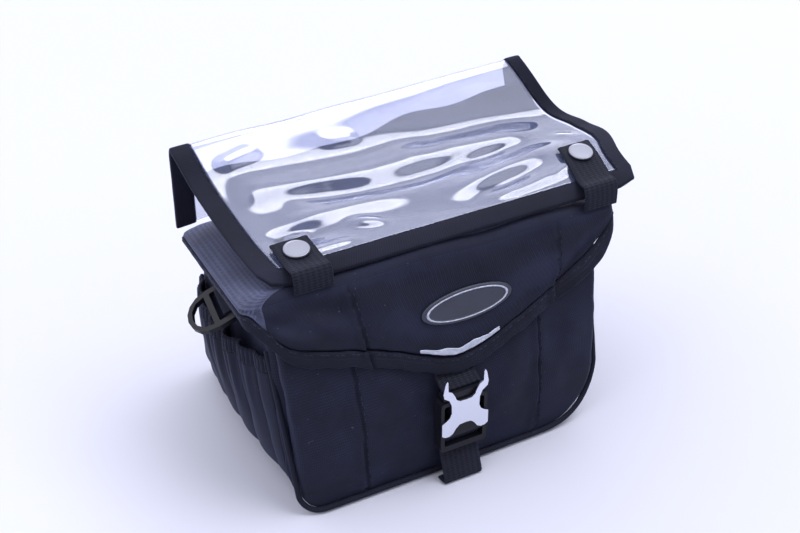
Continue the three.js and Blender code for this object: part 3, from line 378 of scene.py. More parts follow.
def woven(name, shade, lit, across, along_thread, relief, sheen=0.14, rough=0.66):
    """A woven cloth with threads of the given spacing across and along, in millimetres. The tone goes
    from shade to lit: painted shade between the threads and painted light on their tops, with more of
    the lit tone where a random cloud of wear makes the cloth look worn."""
    made, tree, surface = blank_material(name)
    place = node(tree, "SeparateXYZ", {0: node(tree, "UVMap", uv_map="cut").outputs[0]})
    waves = []
    for axis, pitch in (("X", across), ("Y", along_thread)):
        turn = node(tree, "Math", {0: place.outputs[axis], 1: PI / pitch}, operation="MULTIPLY")
        waves.append(node(tree, "Math", {0: turn.outputs[0]}, operation="SINE").outputs[0])
    over = node(tree, "Math", {0: waves[0], 1: waves[1]}, operation="MULTIPLY").outputs[0]
    ridges = []
    for wave, sign in zip(waves, (0.3, -0.3)):
        thread = node(tree, "Math", {0: wave}, operation="ABSOLUTE").outputs[0]
        lift = node(tree, "Math", {0: over, 1: sign, 2: 0.7}, operation="MULTIPLY_ADD").outputs[0]
        ridges.append(node(tree, "Math", {0: thread, 1: lift}, operation="MULTIPLY").outputs[0])
    weave = node(tree, "Math", {0: ridges[0], 1: ridges[1]}, operation="MAXIMUM").outputs[0]
    spot = node(tree, "TexCoord").outputs["Object"]
    cloud = node(tree, "TexNoise", {"Vector": spot, "Scale": 38.0, "Detail": 5.0, "Roughness": 0.6})
    fibre = node(tree, "TexNoise", {"Vector": spot, "Scale": 900.0, "Detail": 2.0})
    # A cloud of wear, 26 mm from patch to patch, and specks of pale lint about 2 mm across.
    wear = node(tree, "MapRange", {0: cloud.outputs["Fac"], 1: 0.3, 2: 0.7, 3: 0.5, 4: 1.4}).outputs[0]
    # Painted light on the thread tops and painted shade between them, scaled by the cloud of wear.
    thread_light_and_wear = node(tree, "Math", {0: wear, 1: weave}, operation="MULTIPLY", use_clamp=True).outputs[0]
    tone = node(tree, "Mix", {0: thread_light_and_wear, 6: linear(shade), 7: linear(lit)}, data_type="RGBA")
    speck = node(tree, "TexNoise", {"Vector": spot, "Scale": 420.0, "Detail": 1.0})
    rare = node(tree, "MapRange", {0: speck.outputs["Fac"], 1: 0.76, 2: 0.82, 3: 0.0, 4: 0.16})
    lint = {0: rare.outputs[0], 6: tone.outputs[2], 7: linear("#7c829c")}
    tone = node(tree, "Mix", lint, data_type="RGBA").outputs[2]
    polish = {0: cloud.outputs["Fac"], 1: 0.3, 2: 0.7, 3: rough - 0.07, 4: rough + 0.08}
    shine = node(tree, "MapRange", polish)
    threads = node(tree, "Bump", {"Height": weave, "Distance": relief / 1000, "Strength": 0.8})
    fuzz = {"Height": fibre.outputs["Fac"], "Distance": 0.0001, "Strength": 0.5, "Normal": threads.outputs[0]}
    cloth = node(
        tree,
        "BsdfPrincipled",
        {
            "Base Color": tone,
            "Roughness": shine.outputs[0],
            "Specular IOR Level": 0.12,
            "Sheen Weight": sheen,
            "Sheen Roughness": 0.4,
            "Sheen Tint": linear("#8a92c4"),
            "Normal": node(tree, "Bump", fuzz).outputs[0],
        },
    )
    tree.links.new(cloth.outputs[0], surface)
    return made


# Pack cloth: black polyester in a plain weave with a waxy coating behind it, so it is matt with a
# faint bluish sheen. Its real threads are 0.4 mm apart; they are drawn 1.3 mm apart so as to show.
pack_cloth = woven("pack_cloth_polyester_plain_weave", "#0d0f17", "#212436", 1.3, 1.3, 0.09)
# Coated inside: the same cloth seen from behind, smoother and greyer where its coating shows.
coated_inside = woven("pack_cloth_coated_inside", "#14161f", "#25283a", 1.3, 1.3, 0.04, 0.05, 0.5)

DARTS = (-59.0, 57.5)
front_stops = stops(-BODY_WIDTH / 2, BODY_WIDTH / 2, 2.0, DARTS) / BODY_WIDTH + 0.5
CORNER_STEPS = 5
# The turned seam down each side panel, a groove, a ridge and a groove: place, height, half width.
SIDE_SEAM = ((-70, -2.6, 1.4), (-65.5, 2.2, 2.2), (-60.5, -2.2, 1.4))
side_flat = BODY_DEPTH / 2 - PANEL_EDGE
side_stops = stops(-side_flat, side_flat, 2.5, [row[0] for row in SIDE_SEAM], 1.6) / (2 * side_flat) + 0.5


def body_columns():
    """Each column's share across, place front to back and step in from the wall."""
    arc = np.arange(1, CORNER_STEPS + 1) / CORNER_STEPS * PI / 2
    long, wide = side_stops[1:], front_stops[1:]

    def corner(side, sign, a):
        return side + 0 * a, sign * (side_flat + PANEL_EDGE * np.sin(a)), PANEL_EDGE * (np.cos(a) - 1)

    runs = [
        (front_stops, -BODY_DEPTH / 2 + 0 * front_stops, -PANEL_EDGE + 0 * front_stops),
        corner(1, -1, PI / 2 - arc),
        (1 + 0 * long, mix(-side_flat, side_flat, long), 0 * long),
        corner(1, 1, arc),
        (1 - wide, BODY_DEPTH / 2 + 0 * wide, -PANEL_EDGE + 0 * wide),
        corner(0, 1, PI / 2 - arc),
        (0 * long, mix(-side_flat, side_flat, side_stops[::-1][1:]), 0 * long),
        corner(0, -1, arc[:-1]),
    ]
    return [np.concatenate(parts) for parts in zip(*runs)]


body_across, body_y, body_in = body_columns()


def body_row(turn, rise, inset):
    """One loop round the tub, still in its drawn box."""
    ends = []
    for sign, corner in CORNERS:
        r = corner - inset
        z = mix(inset + r * (1 - math.cos(turn)), RIM_HEIGHT, rise)
        x = sign * (wall_out(sign) - inset - r * (1 - math.sin(turn)))
        ends.append((x + sign * math.sin(turn) * body_in, z - math.cos(turn) * body_in))
    (x0, z0), (x1, z1) = ends
    y = body_y * (BODY_DEPTH / 2 - inset) / (BODY_DEPTH / 2)
    return vec(mix(x0, x1, body_across), y, mix(z0, z1, body_across))


# Slack folds of the front panel: start and end across and up, half width, and height before the
# factor FOLD_HEIGHT.
FOLD_HEIGHT = 2.2
FRONT_FOLDS = [
    (-92, 12, -30, 88, 9, 0.9),
    (-52, 6, -16, 62, 8, -0.8),
    (-50, 96, -20, 40, 7, 0.7),
    (26, 20, 50, 84, 9, 0.8),
    (62, 90, 84, 30, 8, -0.9),
    (64, 22, 92, 88, 8, 0.8),
    (-88, 30, -66, 96, 6, 0.8),
    (-20, 14, 40, 22, 6, -0.7),
    (-80, 12, -30, 18, 5, 0.7),
]


DART_LIP, DART_GROOVE, DART_PUCKER = 1.5, 1.8, 0.5


def front_relief(x, z):
    """Darts, puckers beside them and slack folds of the front panel, in millimetres outwards."""
    out = FOLD_HEIGHT * folds(x, z, FRONT_FOLDS)
    out = out + 0.45 * ripples(x, z, 46, 3) + 0.14 * ripples(x, z, 13, 33)
    for dart in DARTS:
        off = np.abs(x - dart)
        pucker = DART_PUCKER * ripples(x * 0.3, z, 15, 8) * hump(off, 7)
        lip = DART_LIP * smooth((x - dart + 5) / 4.6) * (x < dart)
        groove = DART_GROOVE * hump(off, 1.5) * (x >= dart)
        out = out + (lip - groove) + pucker
    return out * smooth((z + 2) / 12)


def body_relief(p):
    """Relief of the drawn tub: the front panel's, and on the sides the seam and long pleats."""
    x, y, z = p[..., 0], p[..., 1], p[..., 2]
    front = smooth((-y - BODY_DEPTH / 2 + 6) / 5)
    aside = smooth((np.abs(x) - BODY_WIDTH / 2 + 12) / 10) * (1 - front)
    seam = sum(high * hump(y - at, wide) for at, high, wide in SIDE_SEAM)
    pleat = 0.5 * ripples(y, z, 24, 21) + 0.8 * np.cos(y / 5.2) * smooth((110 - z) / 60)
    return front * front_relief(x, z) + aside * (seam + pleat) * smooth(z / 30)


rows = [(t, 0) for t in np.linspace(0, PI / 2, 11)] + [(PI / 2, r) for r in np.linspace(0, 1, 53)[1:]]
drawn = np.stack([body_row(turn, rise, 0) for turn, rise in rows])
outer = soft(drawn)
dented = body_relief(drawn) * smooth((RIM_HEIGHT + 4 - drawn[..., 2]) / 12)
outer = outer + outward(outer, True) * dented[..., None]
inner_rows = [(0, 0), (PI / 4, 0), *[(PI / 2, rise) for rise in (0, 0.3, 0.6, 0.8, 1)]]
inner = soft(np.stack([body_row(turn, rise, BODY_WALL) for turn, rise in inner_rows]))
body = Cloth()


def floor_grid(cloth, loop_ids, loop, across, side_steps, group=0, turned=False):
    """Closes the small end of a tub with a grid from side to side; across has the front's stops."""
    turns = len(across) - 1
    share = across[1:-1, None]
    grid = [loop_ids[: turns + 1]]
    for m in range(1, side_steps):
        left, right = -m % len(loop), turns + m
        line = loop[left] * (1 - share) + loop[right] * share
        grid.append([loop_ids[left], *cloth.add(line, line[:, :2]), loop_ids[right]])
    grid.append(loop_ids[turns + side_steps : 2 * turns + side_steps + 1][::-1])
    cloth.weave(np.array(grid), turned=turned, group=group)


outer_ids = body.add(outer, cut_of(outer))
inner_ids = body.add(inner, cut_of(inner))
body.weave(outer_ids, closed=True, turned=True)
body.weave(inner_ids, closed=True, group=1)
body_steps = len(side_stops) - 1 + 2 * CORNER_STEPS
floor_grid(body, outer_ids[0], outer[0], front_stops, body_steps)
floor_grid(body, inner_ids[0], inner[0], front_stops, body_steps, 1, True)
body.weave(np.stack([outer_ids[-1], inner_ids[-1]]), closed=True, turned=True)
body.piece("body_tub", [pack_cloth, coated_inside], "body_cloth", ["body_shell"])

# Piping: a cord wrapped in black cloth tape, sewn in along the lower edge of the front panel and up
# both of its sides, so it draws the panel's outline and rounds it off.
PIPING_RADIUS = 1.7
PIPING_TOP = 104
PIPING_SETBACK = 13
PIPING_LOW = 76


def piping_point(sign, corner, turn, rise):
    """Point of the cord's middle: turn goes round a lower corner, rise up its side."""
    z = mix(corner * (1 - math.cos(turn)), PIPING_TOP, rise)
    out = math.radians(mix(PIPING_LOW, 0, float(smooth(turn / (PI / 2)))))
    reach = PANEL_EDGE + GAP + PIPING_RADIUS
    step = reach * math.cos(out) - PANEL_EDGE
    x = sign * (wall_out(sign) - corner * (1 - math.sin(turn)) + math.sin(turn) * step)
    y = -(BODY_DEPTH / 2 - PANEL_EDGE) - reach * math.sin(out) + PIPING_SETBACK * rise
    return np.array([x, y, z - math.cos(turn) * step])


def cord_of(path, radius, sides):
    """A round cord along a path of points, closed at both ends."""
    made = Cloth()
    ahead = unit(np.gradient(path, axis=0))
    side = np.cross(ahead[0], (0.2, 1, 0.3))
    around = np.linspace(0, 2 * PI, sides, endpoint=False)
    rings = []
    for p, a in zip(path, ahead):
        side = unit(side - a * np.dot(side, a))
        other = np.cross(a, side)
        rings.append(p + radius * (np.outer(np.cos(around), side) + np.outer(np.sin(around), other)))
    cut = vec(around * radius, lengths(path)[:, None])
    ids = made.add(np.stack(rings), cut)
    made.weave(ids, closed=True, turned=True)
    made.close_ends(ids, rings, cut, turned=True)
    return made


# Binding tape: narrow polyester tape, ribbed across at about 1 mm, duller than the pack cloth.
tape_cloth = woven("binding_tape_ribbed_polyester", "#0b0c14", "#1e202e", 0.9, 1.5, 0.16, 0.14, 0.75)
piping_path = []
for sign, corner in CORNERS:
    run = [piping_point(sign, corner, PI / 2, k) for k in np.linspace(1, 0, 60)]
    run += [piping_point(sign, corner, turn, 0) for turn in np.linspace(PI / 2, 0, 24)[1:]]
    piping_path.append(run)
across_front = [mix(piping_path[0][-1], piping_path[1][-1], s) for s in np.linspace(0, 1, 70)[1:-1]]
piping_line = np.array([*piping_path[0], *across_front, *piping_path[1][::-1]])
piping = cord_of(soft(piping_line), PIPING_RADIUS, 12)
piping.piece("piping", [tape_cloth], "piping_cord", ["front_piping"])

# Side pockets: loose black cloth gathered onto an elastic band at the top, sewn to the body round
# its other three sides. The gathers run down in long folds.
POCKET_FLOOR = 20
POCKET_HEIGHT = 84
POCKET_FRONT = 57
POCKET_BACK = 74
POCKET_BULGE = 10
POCKET_THICK = 1.8
POCKET_TILT = 3
RIGHT_FLOOR = 24
GATHERS = 6
GATHER_DEPTH = 3.2
RUFFLES = 46
ELASTIC_HEIGHT = 9
# Pocket cloth: a thinner polyester in plain weave, matt and soft. Its threads, 0.4 mm apart, are
# drawn 1.2 mm apart.
pocket_cloth = woven("pocket_cloth_polyester_plain_weave", "#0c0e16", "#1f2232", 1.2, 1.2, 0.1, 0.14, 0.64)
# Elastic: rubber threads covered in black polyester with ribs 1.1 mm apart, the dullest of the tapes.
elastic_band = woven("elastic_band_ribbed", "#0a0b12", "#1f212f", 1.1, 1.4, 0.25, 0.14, 0.8)


def pocket_point(sign, s, t, lift, fine):
    """Point of a side pocket: s goes front to back, t from its floor to its mouth. Lift raises it
    above the mouth, and fine, from 0 to 1, trades the small gathers for the elastic's ruffles."""
    belly = np.sin(PI * np.clip(s, 0, 1)) ** 0.7 * (0.25 + 0.75 * np.sin(PI / 2 * t))
    bend = s + 0.02 * ripples(s * 60, t * 60, 40, 31 + sign)
    crest = 2 * np.abs(np.cos(PI * GATHERS * bend)) ** 0.7 - 1
    fold = GATHER_DEPTH * crest * np.sin(PI * s) ** 0.6 * (0.3 + 0.7 * t)
    small = 0.7 * np.cos(2 * PI * 3.1 * GATHERS * bend + 2 * t) * np.sin(PI * s) * smooth((t - 0.35) / 0.6)
    ruffle = 0.35 * np.cos(2 * PI * RUFFLES * s) * fine
    floor = POCKET_FLOOR if sign < 0 else POCKET_FLOOR + RIGHT_FLOOR
    z = mix(floor, POCKET_HEIGHT + POCKET_TILT * (1 - 2 * s), t) + lift
    y = mix(-POCKET_FRONT - 6 * (1 - t), POCKET_BACK, s)
    reach = np.maximum(POCKET_BULGE * belly + fold + small * (1 - fine), 0) + ruffle
    return vec(sign * (wall_out(sign) + GAP + POCKET_THICK / 2 + reach), y, z)


for side, sign in (("left", -1), ("right", 1)):
    s, t = np.meshgrid(np.linspace(0, 1, 221), np.linspace(0, 1, 41))
    cloth = sheet_of(soft(pocket_point(sign, s, t, 0, 0)), POCKET_THICK)
    cloth.piece(f"pocket_{side}", [pocket_cloth], "pocket_cloth", [f"side_pocket_{side}"])
    s, up = np.meshgrid(np.linspace(0, 1, 301), np.linspace(1, 1 + ELASTIC_HEIGHT, 9))
    band = sheet_of(soft(pocket_point(sign, s, np.ones_like(s), up, 1)), POCKET_THICK + 0.6)
    band.piece(f"elastic_{side}", [elastic_band], "binding_tape", [f"pocket_elastic_{side}"])

# Lid: a soft lid of the same pack cloth with a lighter checked cloth round its sides and top margin.
# Its front runs down in a pointed flap with two darts, and its edge is bound with tape.
LID_WIDTH = 224
LID_SHIFT = 1
CLOTH = 2
FLAP_CLEAR = 2.8
LID_DEEP = BODY_DEPTH / 2 + FLAP_CLEAR + CLOTH
FLAP_LENGTH = 72.6
FLAP_EDGE = [0.2, 0.53, 0.64, 0.716, 0.8, 0.916, 1, 0.964, 0.868, 0.75, 0.634, 0.503, 0.27]
FLAP_TURN = 12
LID_SKIRT = 9
LID_CORNER = 9
BINDING_WIDE = 9.5
BINDING_NARROW = 4.5
SHOULDER_ACROSS = 24
SHOULDER_DEEP = 8
SHOULDER_DROP = 5.5
SHOULDER = np.array([[1, 1, 0], [0.5, 0.375, 0.22], [0.167, 0.1, 0.58], [0, 0, 1]])
# Each dart's place across at the height DART_MIDDLE, and its lean.
FLAP_DARTS = ((-53.0, -0.13), (71.0, 0.13))
DART_MIDDLE = 122
PATCH_X, PATCH_Z, PATCH_WIDTH, PATCH_HEIGHT = 11.5, 108.5, 56, 18
dart_marks = [dart - LID_SHIFT + LID_WIDTH / 2 for dart, _ in FLAP_DARTS]
flap_stops = stops(0, LID_WIDTH, 1.4, dart_marks) / LID_WIDTH
LID_TURNS = 6
lid_sides = np.linspace(0, 1, 49)


def lid_loop(inset_x, inset_y, inward):
    """Plan of the lid as x and y, going round from its front left corner."""
    left = LID_SHIFT - LID_WIDTH / 2 + inset_x + inward
    right = LID_SHIFT + LID_WIDTH / 2 - inset_x - inward
    near = -(LID_DEEP - inset_y - inward)
    far = LID_DEEP - inset_y - inward
    r = max(LID_CORNER - inward - inset_x / 3, LID_CORNER / 2)
    arc = np.arange(1, LID_TURNS + 1) / LID_TURNS * PI / 2

    def turn(x, y, start, part):
        return vec(x + r * np.cos(start + part), y + r * np.sin(start + part))

    back = flap_stops[1:]
    s = lid_sides[1:]
    return np.concatenate(
        [
            vec(mix(left + r, right - r, flap_stops), near),
            turn(right - r, near + r, -PI / 2, arc),
            vec(right, mix(near + r, far - r, s)),
            turn(right - r, far - r, 0, arc),
            vec(mix(right - r, left + r, back), far),
            turn(left + r, far - r, PI / 2, arc),
            vec(left, mix(far - r, near + r, s)),
            turn(left + r, near + r, PI, arc[:-1]),
        ]
    )


lid_plan = lid_loop(0, 0, 0)
lid_x, lid_y = lid_plan[:, 0], lid_plan[:, 1]


def edge_share(x):
    """How far down the flap's edge reaches at x, as a share of FLAP_LENGTH."""
    return along(FLAP_EDGE, (x - LID_SHIFT) / LID_WIDTH + 0.5)


on_flap = smooth((-lid_y - LID_DEEP) / FLAP_TURN + 1)
binding_high = mix(BINDING_NARROW, BINDING_WIDE, on_flap)
edge_low = LID_TOP - mix(LID_SKIRT, np.maximum(FLAP_LENGTH * edge_share(lid_x), LID_SKIRT), on_flap)
skirt_high = LID_TOP - SHOULDER_DROP - CLOTH - GAP
# Slack folds of the flap, laid out as FRONT_FOLDS is.
FLAP_FOLD_HEIGHT = 2.3
FLAP_FOLDS = [
    (-110, 138, -60, 116, 5, 1.5),
    (-108, 131, -40, 121, 6, -1.3),
    (-104, 126, -66, 104, 5, 1.2),
    (-60, 132, -10, 104, 9, 0.9),
    (-30, 142, 4, 96, 10, -0.8),
    (20, 140, 46, 92, 8, 0.8),
    (48, 96, 100, 138, 8, 1.3),
    (56, 92, 108, 128, 6, -1.4),
    (66, 94, 112, 118, 5, 1.2),
    (40, 118, 74, 142, 7, -0.7),
    (-94, 106, -62, 112, 4, -0.8),
    (-44, 92, -20, 108, 5, 0.7),
]


def flap_relief(x, z):
    """Darts and slack folds of the flap, in millimetres outwards."""
    out = FLAP_FOLD_HEIGHT * folds(x, z, FLAP_FOLDS)
    out = out + 0.4 * ripples(x, z, 38, 12) + 0.14 * ripples(x, z, 12, 34)
    for dart, lean in FLAP_DARTS:
        off = x - dart - lean * (z - DART_MIDDLE)
        lip = 1.6 * smooth((off + 5) / 4.6) * (off < 0)
        groove = 1.5 * hump(off, 1.7) * (off >= 0)
        pucker = 0.4 * ripples(x * 0.3, z, 13, 5) * hump(off, 7)
        out = out + (lip - groove) + pucker
    # It stays flat under the patch and at the point, where the strip and the webbing lie on it.
    badge = np.exp(-(((x - PATCH_X) / 38) ** 4) - (((z - PATCH_Z) / 15) ** 4))
    tip = smooth((x + 34) / 10) * smooth((48 - x) / 10) * smooth((102 - z) / 8)
    return out * (1 - np.maximum(badge, tip))


def lid_shape(p, dent=1.0):
    """Dents the drawn lid, then bends it to the bag."""
    x, y, z = p[..., 0], p[..., 1], p[..., 2]
    front = smooth((-y - LID_DEEP) / FLAP_TURN + 1)
    high = smooth((LID_TOP - 3 - z) / 8)
    y = y - dent * front * high * flap_relief(x, z)
    # The top is uneven, its front left corner stands up, and a seam runs under the side's edge.
    corner = hump(x + 104, 16) * hump(y + 72, 12)
    z = z + dent * (1 - high) * (0.5 * ripples(x, y, 52, 17) + 1.2 * corner)
    aside = smooth((np.abs(x - LID_SHIFT) - LID_WIDTH / 2 + 14) / 12) * (1 - front)
    seam = -0.9 * hump(LID_TOP - z - 3.5, 0.9) * aside
    return soft(vec(x, y, z + seam * dent))


lid_rows = []
for q in np.linspace(0, 1, 13):
    inset_x, inset_y, drop = (along(SHOULDER[:, k], q) for k in range(3))
    plan = lid_loop(inset_x * SHOULDER_ACROSS, inset_y * SHOULDER_DEEP, 0)
    lid_rows.append(vec(plan[:, 0], plan[:, 1], LID_TOP - drop * SHOULDER_DROP))
low_edge = np.minimum(edge_low + binding_high + GAP, skirt_high)
for q in np.linspace(0, 1, 38)[1:]:
    lid_rows.append(vec(lid_x, lid_y, mix(LID_TOP - SHOULDER_DROP, low_edge, q)))
lid_drawn = np.stack(lid_rows)
lid_outer = lid_shape(lid_drawn)
kept_rows = np.r_[0 : len(lid_outer) - 1 : 5, -1]
lid_inner = (lid_outer + outward(lid_outer, True) * CLOTH)[kept_rows]
turns = len(flap_stops) - 1
lid_steps = len(lid_sides) - 1 + 2 * LID_TURNS
# Lid margin cloth: black cloth with a fine raised check, which catches more light than the rest.
margin_cloth = woven("margin_cloth_checked_polyester", "#232533", "#4c5067", 2.2, 2.2, 0.25, 0.2, 0.64)
lid = Cloth()
top_ids = lid.add(lid_outer, cut_of(lid_outer))
under_ids = lid.add(lid_inner, cut_of(lid_inner))
columns = np.arange(len(lid_plan))
# The margin cloth covers the top, both sides and the back; the flap is pack cloth.
aside = (columns > turns + LID_TURNS - 2) | (columns == 0)
lid.weave(top_ids, closed=True, group=np.tile(aside, (len(top_ids) - 1, 1)).astype(int))
lid.weave(under_ids, closed=True, turned=True, group=2)
floor_grid(lid, top_ids[0], lid_outer[0], flap_stops, lid_steps, 1, True)
floor_grid(lid, under_ids[0], lid_inner[0], flap_stops, lid_steps, 2)
lid.weave(np.stack([top_ids[-1], under_ids[-1]]), closed=True)
lid.piece("soft_lid", [pack_cloth, margin_cloth, coated_inside], "lid_cloth", ["lid"])

# Binding of the lid: the ribbed tape folded over the raw edge all round and sewn through. It is a
# little thicker outside, and runs slightly wavy as hand-guided tape does.
BIND_SIDES = 16
BIND_PROUD = 0.5
bind_top = np.minimum(edge_low + binding_high, skirt_high + GAP) - 3 * GAP
bind_wave = 0.8 * ripples(lid_x, lid_y, 17, 9)
heading = np.roll(lid_plan, -1, 0) - np.roll(lid_plan, 1, 0)
plan_out = unit(vec(heading[:, 1], -heading[:, 0]))
ring = []
for a in np.linspace(0, 2 * PI, BIND_SIDES, endpoint=False):
    ca, sa = math.cos(a), math.sin(a)
    inward = CLOTH / 2 - (CLOTH / 2 + GAP + BIND_PROUD * (ca > 0)) * np.sign(ca) * abs(ca) ** 0.6
    drop = 0.5 - 0.5 * np.sign(sa) * abs(sa) ** 0.35
    plan = lid_loop(0, 0, inward) + 0.35 * bind_wave[:, None] * plan_out
    bind_z = bind_top - drop * binding_high + (0.3 + 0.5 * drop) * bind_wave
    ring.append(lid_shape(vec(plan[:, 0], plan[:, 1], bind_z)))
ring = np.stack(ring, 1)
binding = Cloth()
binding_cut = vec(np.linspace(0, 24, BIND_SIDES)[None], lengths(ring[:, 0])[:, None])
binding_ids = binding.add(ring, binding_cut)
binding.weave(np.concatenate([binding_ids, binding_ids[:1]]), closed=True)
binding.piece("lid_edge_binding", [tape_cloth], "binding_tape", ["lid_binding"])

# Stitching: black bonded nylon thread in lock stitches 3.2 mm apart, each standing a little proud of
# the cloth. A stitch is a small spindle, and those of one sewn edge are joined in one piece.
# Bonded thread: smoother than the cloth, and painted a paler colour than it as a painted sheen, so
# each stitch shows as a faint light dash.
thread = woven("stitching_bonded_thread", "#101118", "#34374a", 0.6, 0.6, 0.05, 0.1, 0.6)
STITCH_PITCH = 3.2
STITCH_LONG = 2.3
THREAD_RADIUS = 0.3
# Shape of a stitch: place along it and share of the thread's radius.
SPINDLE = ((0, 0), (0.2, 0.8), (0.5, 1), (0.8, 0.8), (1, 0))


def stitch_row(made, line, away):
    """Adds a row of stitches along a line of points, lying on the side that away points to."""
    far = lengths(line)
    around = np.linspace(0, 2 * PI, 6, endpoint=False)

    def at(place, values):
        return np.array([np.interp(place, far, values[:, k]) for k in range(3)])

    for start in np.arange(STITCH_PITCH / 2, far[-1] - STITCH_LONG, STITCH_PITCH):
        near_end, far_end = at(start, line), at(start + STITCH_LONG, line)
        up = unit(at(start, away))
        over = unit(np.cross(up, far_end - near_end))
        circle = THREAD_RADIUS * (np.outer(np.cos(around), over) + np.outer(np.sin(around), up))
        rings = [mix(near_end, far_end, t) + circle * r for t, r in SPINDLE]
        made.weave(made.add(np.stack(rings), (0, start)), closed=True, turned=True)


binding_thread = Cloth()
row = np.concatenate([ring[:, 1], ring[:1, 1]])
away = np.concatenate([ring[:, 0] - ring[:, 8]] * 2)[: len(row)]
stitch_row(binding_thread, row + 0.1 * unit(away), away)
binding_thread.piece("binding_stitches", [thread], "binding_tape")
DART_STITCH = 2.6
body_thread = Cloth()
for dart in DARTS:
    z = np.linspace(RIM_HEIGHT - 12, 10, 90)
    x = dart + DART_STITCH + 0 * z
    front = vec(x, -BODY_DEPTH / 2 - front_relief(x, z) - 0.1, z)
    stitch_row(body_thread, soft(front), vec(0 * z, -1, 0.1))
body_thread.piece("body_dart_stitches", [thread], "body_cloth")
flap_thread = Cloth()
for dart, lean in FLAP_DARTS:
    dart_low = LID_TOP - FLAP_LENGTH * edge_share(dart) + BINDING_WIDE + 2
    z = np.linspace(LID_TOP - 9, dart_low, 60)
    x = dart + lean * (z - DART_MIDDLE) + DART_STITCH
    front = vec(x, -(LID_DEEP + 0.1) - smooth((LID_TOP - 3 - z) / 8) * flap_relief(x, z), z)
    stitch_row(flap_thread, soft(front), vec(0 * z, -1, 0.2))
flap_thread.piece("flap_dart_stitches", [thread], "lid_cloth")

# Reflective strip: silver glass-bead tape, sewn under the flap's binding, of which a crumpled sliver
# shows above it. The beads, 0.05 mm across, are drawn 0.5 mm across, so it looks grainy and satin.
retro, tree, surface = blank_material("reflective_tape_glass_bead")
spot = node(tree, "UVMap", uv_map="cut").outputs[0]
beads = node(tree, "TexVoronoi", {"Vector": spot, "Scale": 2.2})
# Lighter and darker patches a few millimetres across: painted light and shade of the crumpled tape.
painted_crumple_light = node(tree, "TexNoise", {"Vector": spot, "Scale": 0.35, "Detail": 3.0})
tone = node(
    tree, "Mix", {0: painted_crumple_light.outputs["Fac"], 6: linear("#858a9c"), 7: linear("#bfc3d0")}, data_type="RGBA"
)
relief = node(tree, "Bump", {"Height": beads.outputs["Distance"], "Distance": 0.0001, "Strength": 0.6})
film = node(
    tree,
    "BsdfPrincipled",
    {"Base Color": tone.outputs[2], "Metallic": 0.35, "Roughness": 0.42, "Normal": relief.outputs[0]},
)
tree.links.new(film.outputs[0], surface)
STRIP_LEFT, STRIP_RIGHT, STRIP_HEIGHT = -20, 30, 4
STRIP_LEAST = 0.8
STRIP_THICK = 0.8


def flap_face(x, z, out, dent=1.0):
    """A point lying on the flap's front face, a little in front of it."""
    front = vec(x, -(LID_DEEP + out), z)
    front[..., 1] -= dent * flap_relief(front[..., 0], front[..., 2])
    return soft(front)


s, up = np.meshgrid(np.linspace(0, 1, 91), np.linspace(1, 0, 9))
x = mix(STRIP_LEFT, STRIP_RIGHT, s)
bind_line = LID_TOP - FLAP_LENGTH * edge_share(x) + BINDING_WIDE
taper = np.sin(PI * mix(0.02, 0.97, s)) ** 0.7 * (0.8 + 0.2 * np.cos(6 * PI * s))
height = STRIP_LEAST + (STRIP_HEIGHT - STRIP_LEAST) * taper
proud = GAP + STRIP_THICK / 2 + 0.25 * ripples(x, up * 8, 7, 44)
strip = sheet_of(flap_face(x, bind_line + 4 * GAP + up * height, proud), STRIP_THICK)
strip.piece("reflective_sliver", [retro], "reflective_tape", ["reflective_strip"])

# Oval patch: a plain moulded rubber badge with a thin raised rim, sewn to the middle of the flap.
# Its rim is printed with silver ink.
# Moulded rubber: matt and a little smeared. Its grain of 0.2 mm is drawn at 0.7 mm, and only breaks up
# the light.
rubber, tree, surface = blank_material("patch_moulded_rubber")
spot = node(tree, "TexCoord").outputs["Object"]
grain = node(tree, "TexNoise", {"Vector": spot, "Scale": 1500.0, "Detail": 3.0})
smear = node(tree, "TexNoise", {"Vector": spot, "Scale": 60.0, "Detail": 3.0})
tone = node(
    tree, "Mix", {0: smear.outputs["Fac"], 6: linear("#1c1f2b"), 7: linear("#2c3040")}, data_type="RGBA"
)
shine = node(tree, "MapRange", {0: smear.outputs["Fac"], 1: 0.3, 2: 0.7, 3: 0.42, 4: 0.55})
relief = node(tree, "Bump", {"Height": grain.outputs["Fac"], "Distance": 0.00008, "Strength": 0.5})
moulded = node(
    tree,
    "BsdfPrincipled",
    {"Base Color": tone.outputs[2], "Roughness": shine.outputs[0], "IOR": 1.52, "Normal": relief.outputs[0]},
)
tree.links.new(moulded.outputs[0], surface)
# Silver ink printed on the rim: matt and light grey, a little worn.
rim_ink, tree, surface = blank_material("patch_rim_silver_ink")
spot = node(tree, "TexCoord").outputs["Object"]
wear = node(tree, "TexNoise", {"Vector": spot, "Scale": 700.0, "Detail": 4.0})
fade = node(tree, "MapRange", {0: wear.outputs["Fac"], 1: 0.4, 2: 0.62, 3: 0.0, 4: 0.5})
tone = node(tree, "Mix", {0: fade.outputs[0], 6: linear("#a9aebf"), 7: linear("#5d6274")}, data_type="RGBA")
ink = node(tree, "BsdfPrincipled", {"Base Color": tone.outputs[2], "Roughness": 0.5})
tree.links.new(ink.outputs[0], surface)
